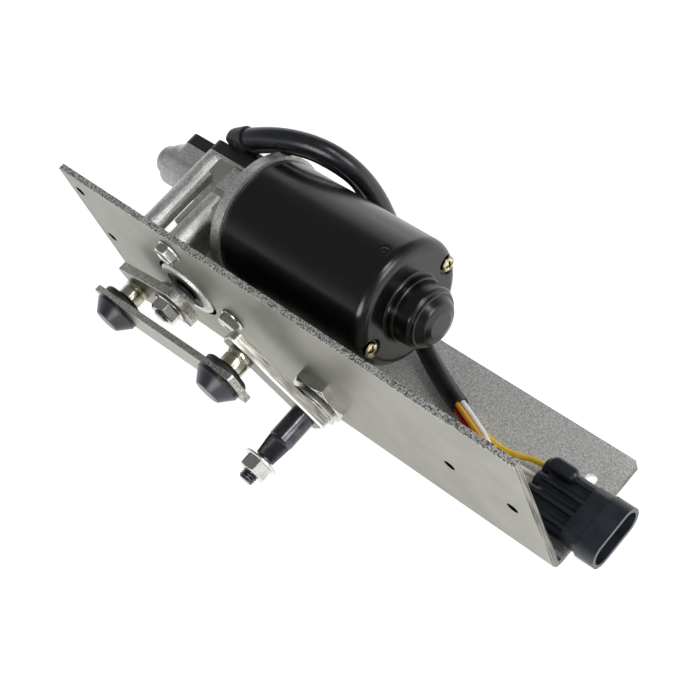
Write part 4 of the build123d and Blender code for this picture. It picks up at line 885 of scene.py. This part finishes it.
def washers():
    """Three washers 0.8 mm thick behind the lever, each with its own turned edge."""
    thick, shaft, first_front = 0.8, 6, 9.0
    rings = []
    for number, radius in enumerate((10.5, 12.6, 11.2)):
        front = first_front - number * thick
        back = front - thick
        ring = [(shaft, back), (radius - 0.15, back), (radius, back + 0.15), (radius, front - 0.15)]
        ring += [(radius - 0.15, front), (shaft, front), (shaft, back)]
        rings.append(turned(ring, PIVOT))
    from_grids("thrust_washers", rings, 40)


def shaft_seal():
    """The lip seal in the boss: a flat ring with two moulded rings and a lip towards the shaft."""
    profile = [(5.3, -2.0), (11.5, -2.0), (11.5, 1.1), (10.4, 1.1), (10.0, 1.6), (9.4, 1.1), (8.6, 1.1)]
    profile += [(8.2, 1.7), (7.4, 1.2), (6.2, 1.9), (5.3, 2.1), (5.3, -2.0)]
    from_grids("output_seal", [turned(rounded(profile, 0.3, 4), OUTPUT)], 50)


def gear_case():
    """The gearbox casting, with the flat of its top cut down round the post, so that the half-round
    post and a recessed pad run on to the cover's joint as they do on the real casting, and a small tab
    on the pad."""
    pad, above, post_radius = 87.3, 93.0, 5.3
    turn = np.radians(np.linspace(180, 35.8, 25))
    post = np.stack([56.5 + post_radius * np.cos(turn), 84.2 + post_radius * np.sin(turn)], -1)
    outline = np.vstack([[(48, above), (48, 84.2)], post, [(79.0, pad), (79.0, above)]])
    softened("gear_housing", 0.5, prism(outline, 32.0, 47.6))
    tab = prism([(72.0, 86.5), (72.0, 89.4), (79.5, 89.4), (79.5, 86.5)], 35.0, 47.4)
    bevelled(piece("case_tab", tab, "base", "cast_case"), 0.5)


# Camera, light and floor

CAMERA_PLACE = (0.34969, -0.159807, 0.546946)
CAMERA_AHEAD, CAMERA_UP = Vector((-0.53563, 0.23965, -0.80974)), Vector((-0.46169, 0.71977, 0.51843))
LENS, SENSOR = 72.81, 36.0
FLOOR_HALF, FLOOR_HEIGHT = 4, -3e-4
LAMP_AIM = Vector((0, 0, 0.04))
# Each disc lamp: name, place in metres, diameter in metres and power in watts
LAMPS = (
    ("key", (-0.75, 1.2, 0.42), 1.0, 1.4),
    ("side", (1.05, 0.27, 0.64), 0.6, 5),
    ("front", (0.35, -1.2, 0.6), 0.8, 10),
    ("top", (0.72, 0.33, 1.2), 0.4, 4),
)


def camera():
    """The photograph's view."""
    made = in_scene("camera", bpy.data.cameras.new("camera"))
    made.data.lens = LENS
    made.data.sensor_width = SENSOR
    side = CAMERA_AHEAD.cross(CAMERA_UP).normalized()
    turn = Matrix((side, CAMERA_UP, -CAMERA_AHEAD)).transposed().to_4x4()
    made.matrix_world = Matrix.Translation(CAMERA_PLACE) @ turn
    bpy.context.scene.camera = made


def pale_floor():
    """A plain pale floor, which glows a little so that it stays near white."""
    a, z = FLOOR_HALF, FLOOR_HEIGHT
    floor = bpy.data.meshes.new("floor")
    floor.from_pydata([(-a, -a, z), (a, -a, z), (a, a, z), (-a, a, z)], [], [(0, 1, 2, 3)])
    paint = {"Roughness": 0.9, "Emission Color": (1, 1, 1, 1), "Emission Strength": 0.62}
    floor.materials.append(shaded(blank("pale_floor", "#f4f4f4")[0], paint))
    in_scene("floor", floor)


def lamps():
    """Soft disc lamps round the part, all aimed at it."""
    for name, where, diameter, power in LAMPS:
        lamp = bpy.data.lights.new(name, "AREA")
        lamp.shape = "DISK"
        lamp.size = diameter
        lamp.energy = power
        made = in_scene(name, lamp)
        made.location = where
        made.rotation_euler = (LAMP_AIM - Vector(where)).to_track_quat("-Z", "Y").to_euler()


def room():
    """A pale room, brightest at the horizon and dimmer overhead, for the glossy sides to mirror."""
    world = bpy.data.worlds.new("room")
    bpy.context.scene.world = world
    world.use_nodes = True
    tree = world.node_tree
    direction = add(tree, "TexCoord", {}, "Generated")
    rise = add(tree, "SeparateXYZ", {"Vector": direction}, "Z")
    walls = {"Value": rise, "From Min": 0.03, "From Max": 0.5, "To Min": 1.15, "To Max": 0.22}
    strength = add(tree, "MapRange", walls)
    give(tree, tree.nodes["Background"], {"Color": (0.93, 0.95, 1.0, 1), "Strength": strength})
    bpy.context.scene.view_settings.view_transform = "Standard"


camera()
pale_floor()
lamps()
room()
cords()
can_shell()
can_screw_heads()
cover_screw_heads()
nuts_and_bolts()
wiper_shaft()
output_shaft()
pivot_barrel()
studs()
link_ends()
washers()
shaft_seal()
gear_case()
for node, width in (("mounting_bracket", 0.25), ("gear_cover", 0.5), ("crank_arm", 0.35),
                    ("link_bar", 0.3), ("cable_boot", 0.5)):
    softened(node, width)
softened("wiper_lever", 0.3).data.materials[0] = LEVER_FINISH
for node, made in frame["nodes"].items():
    made.data.materials.clear()
    made.data.materials.append(FINISH[SLOT_OF[node]])
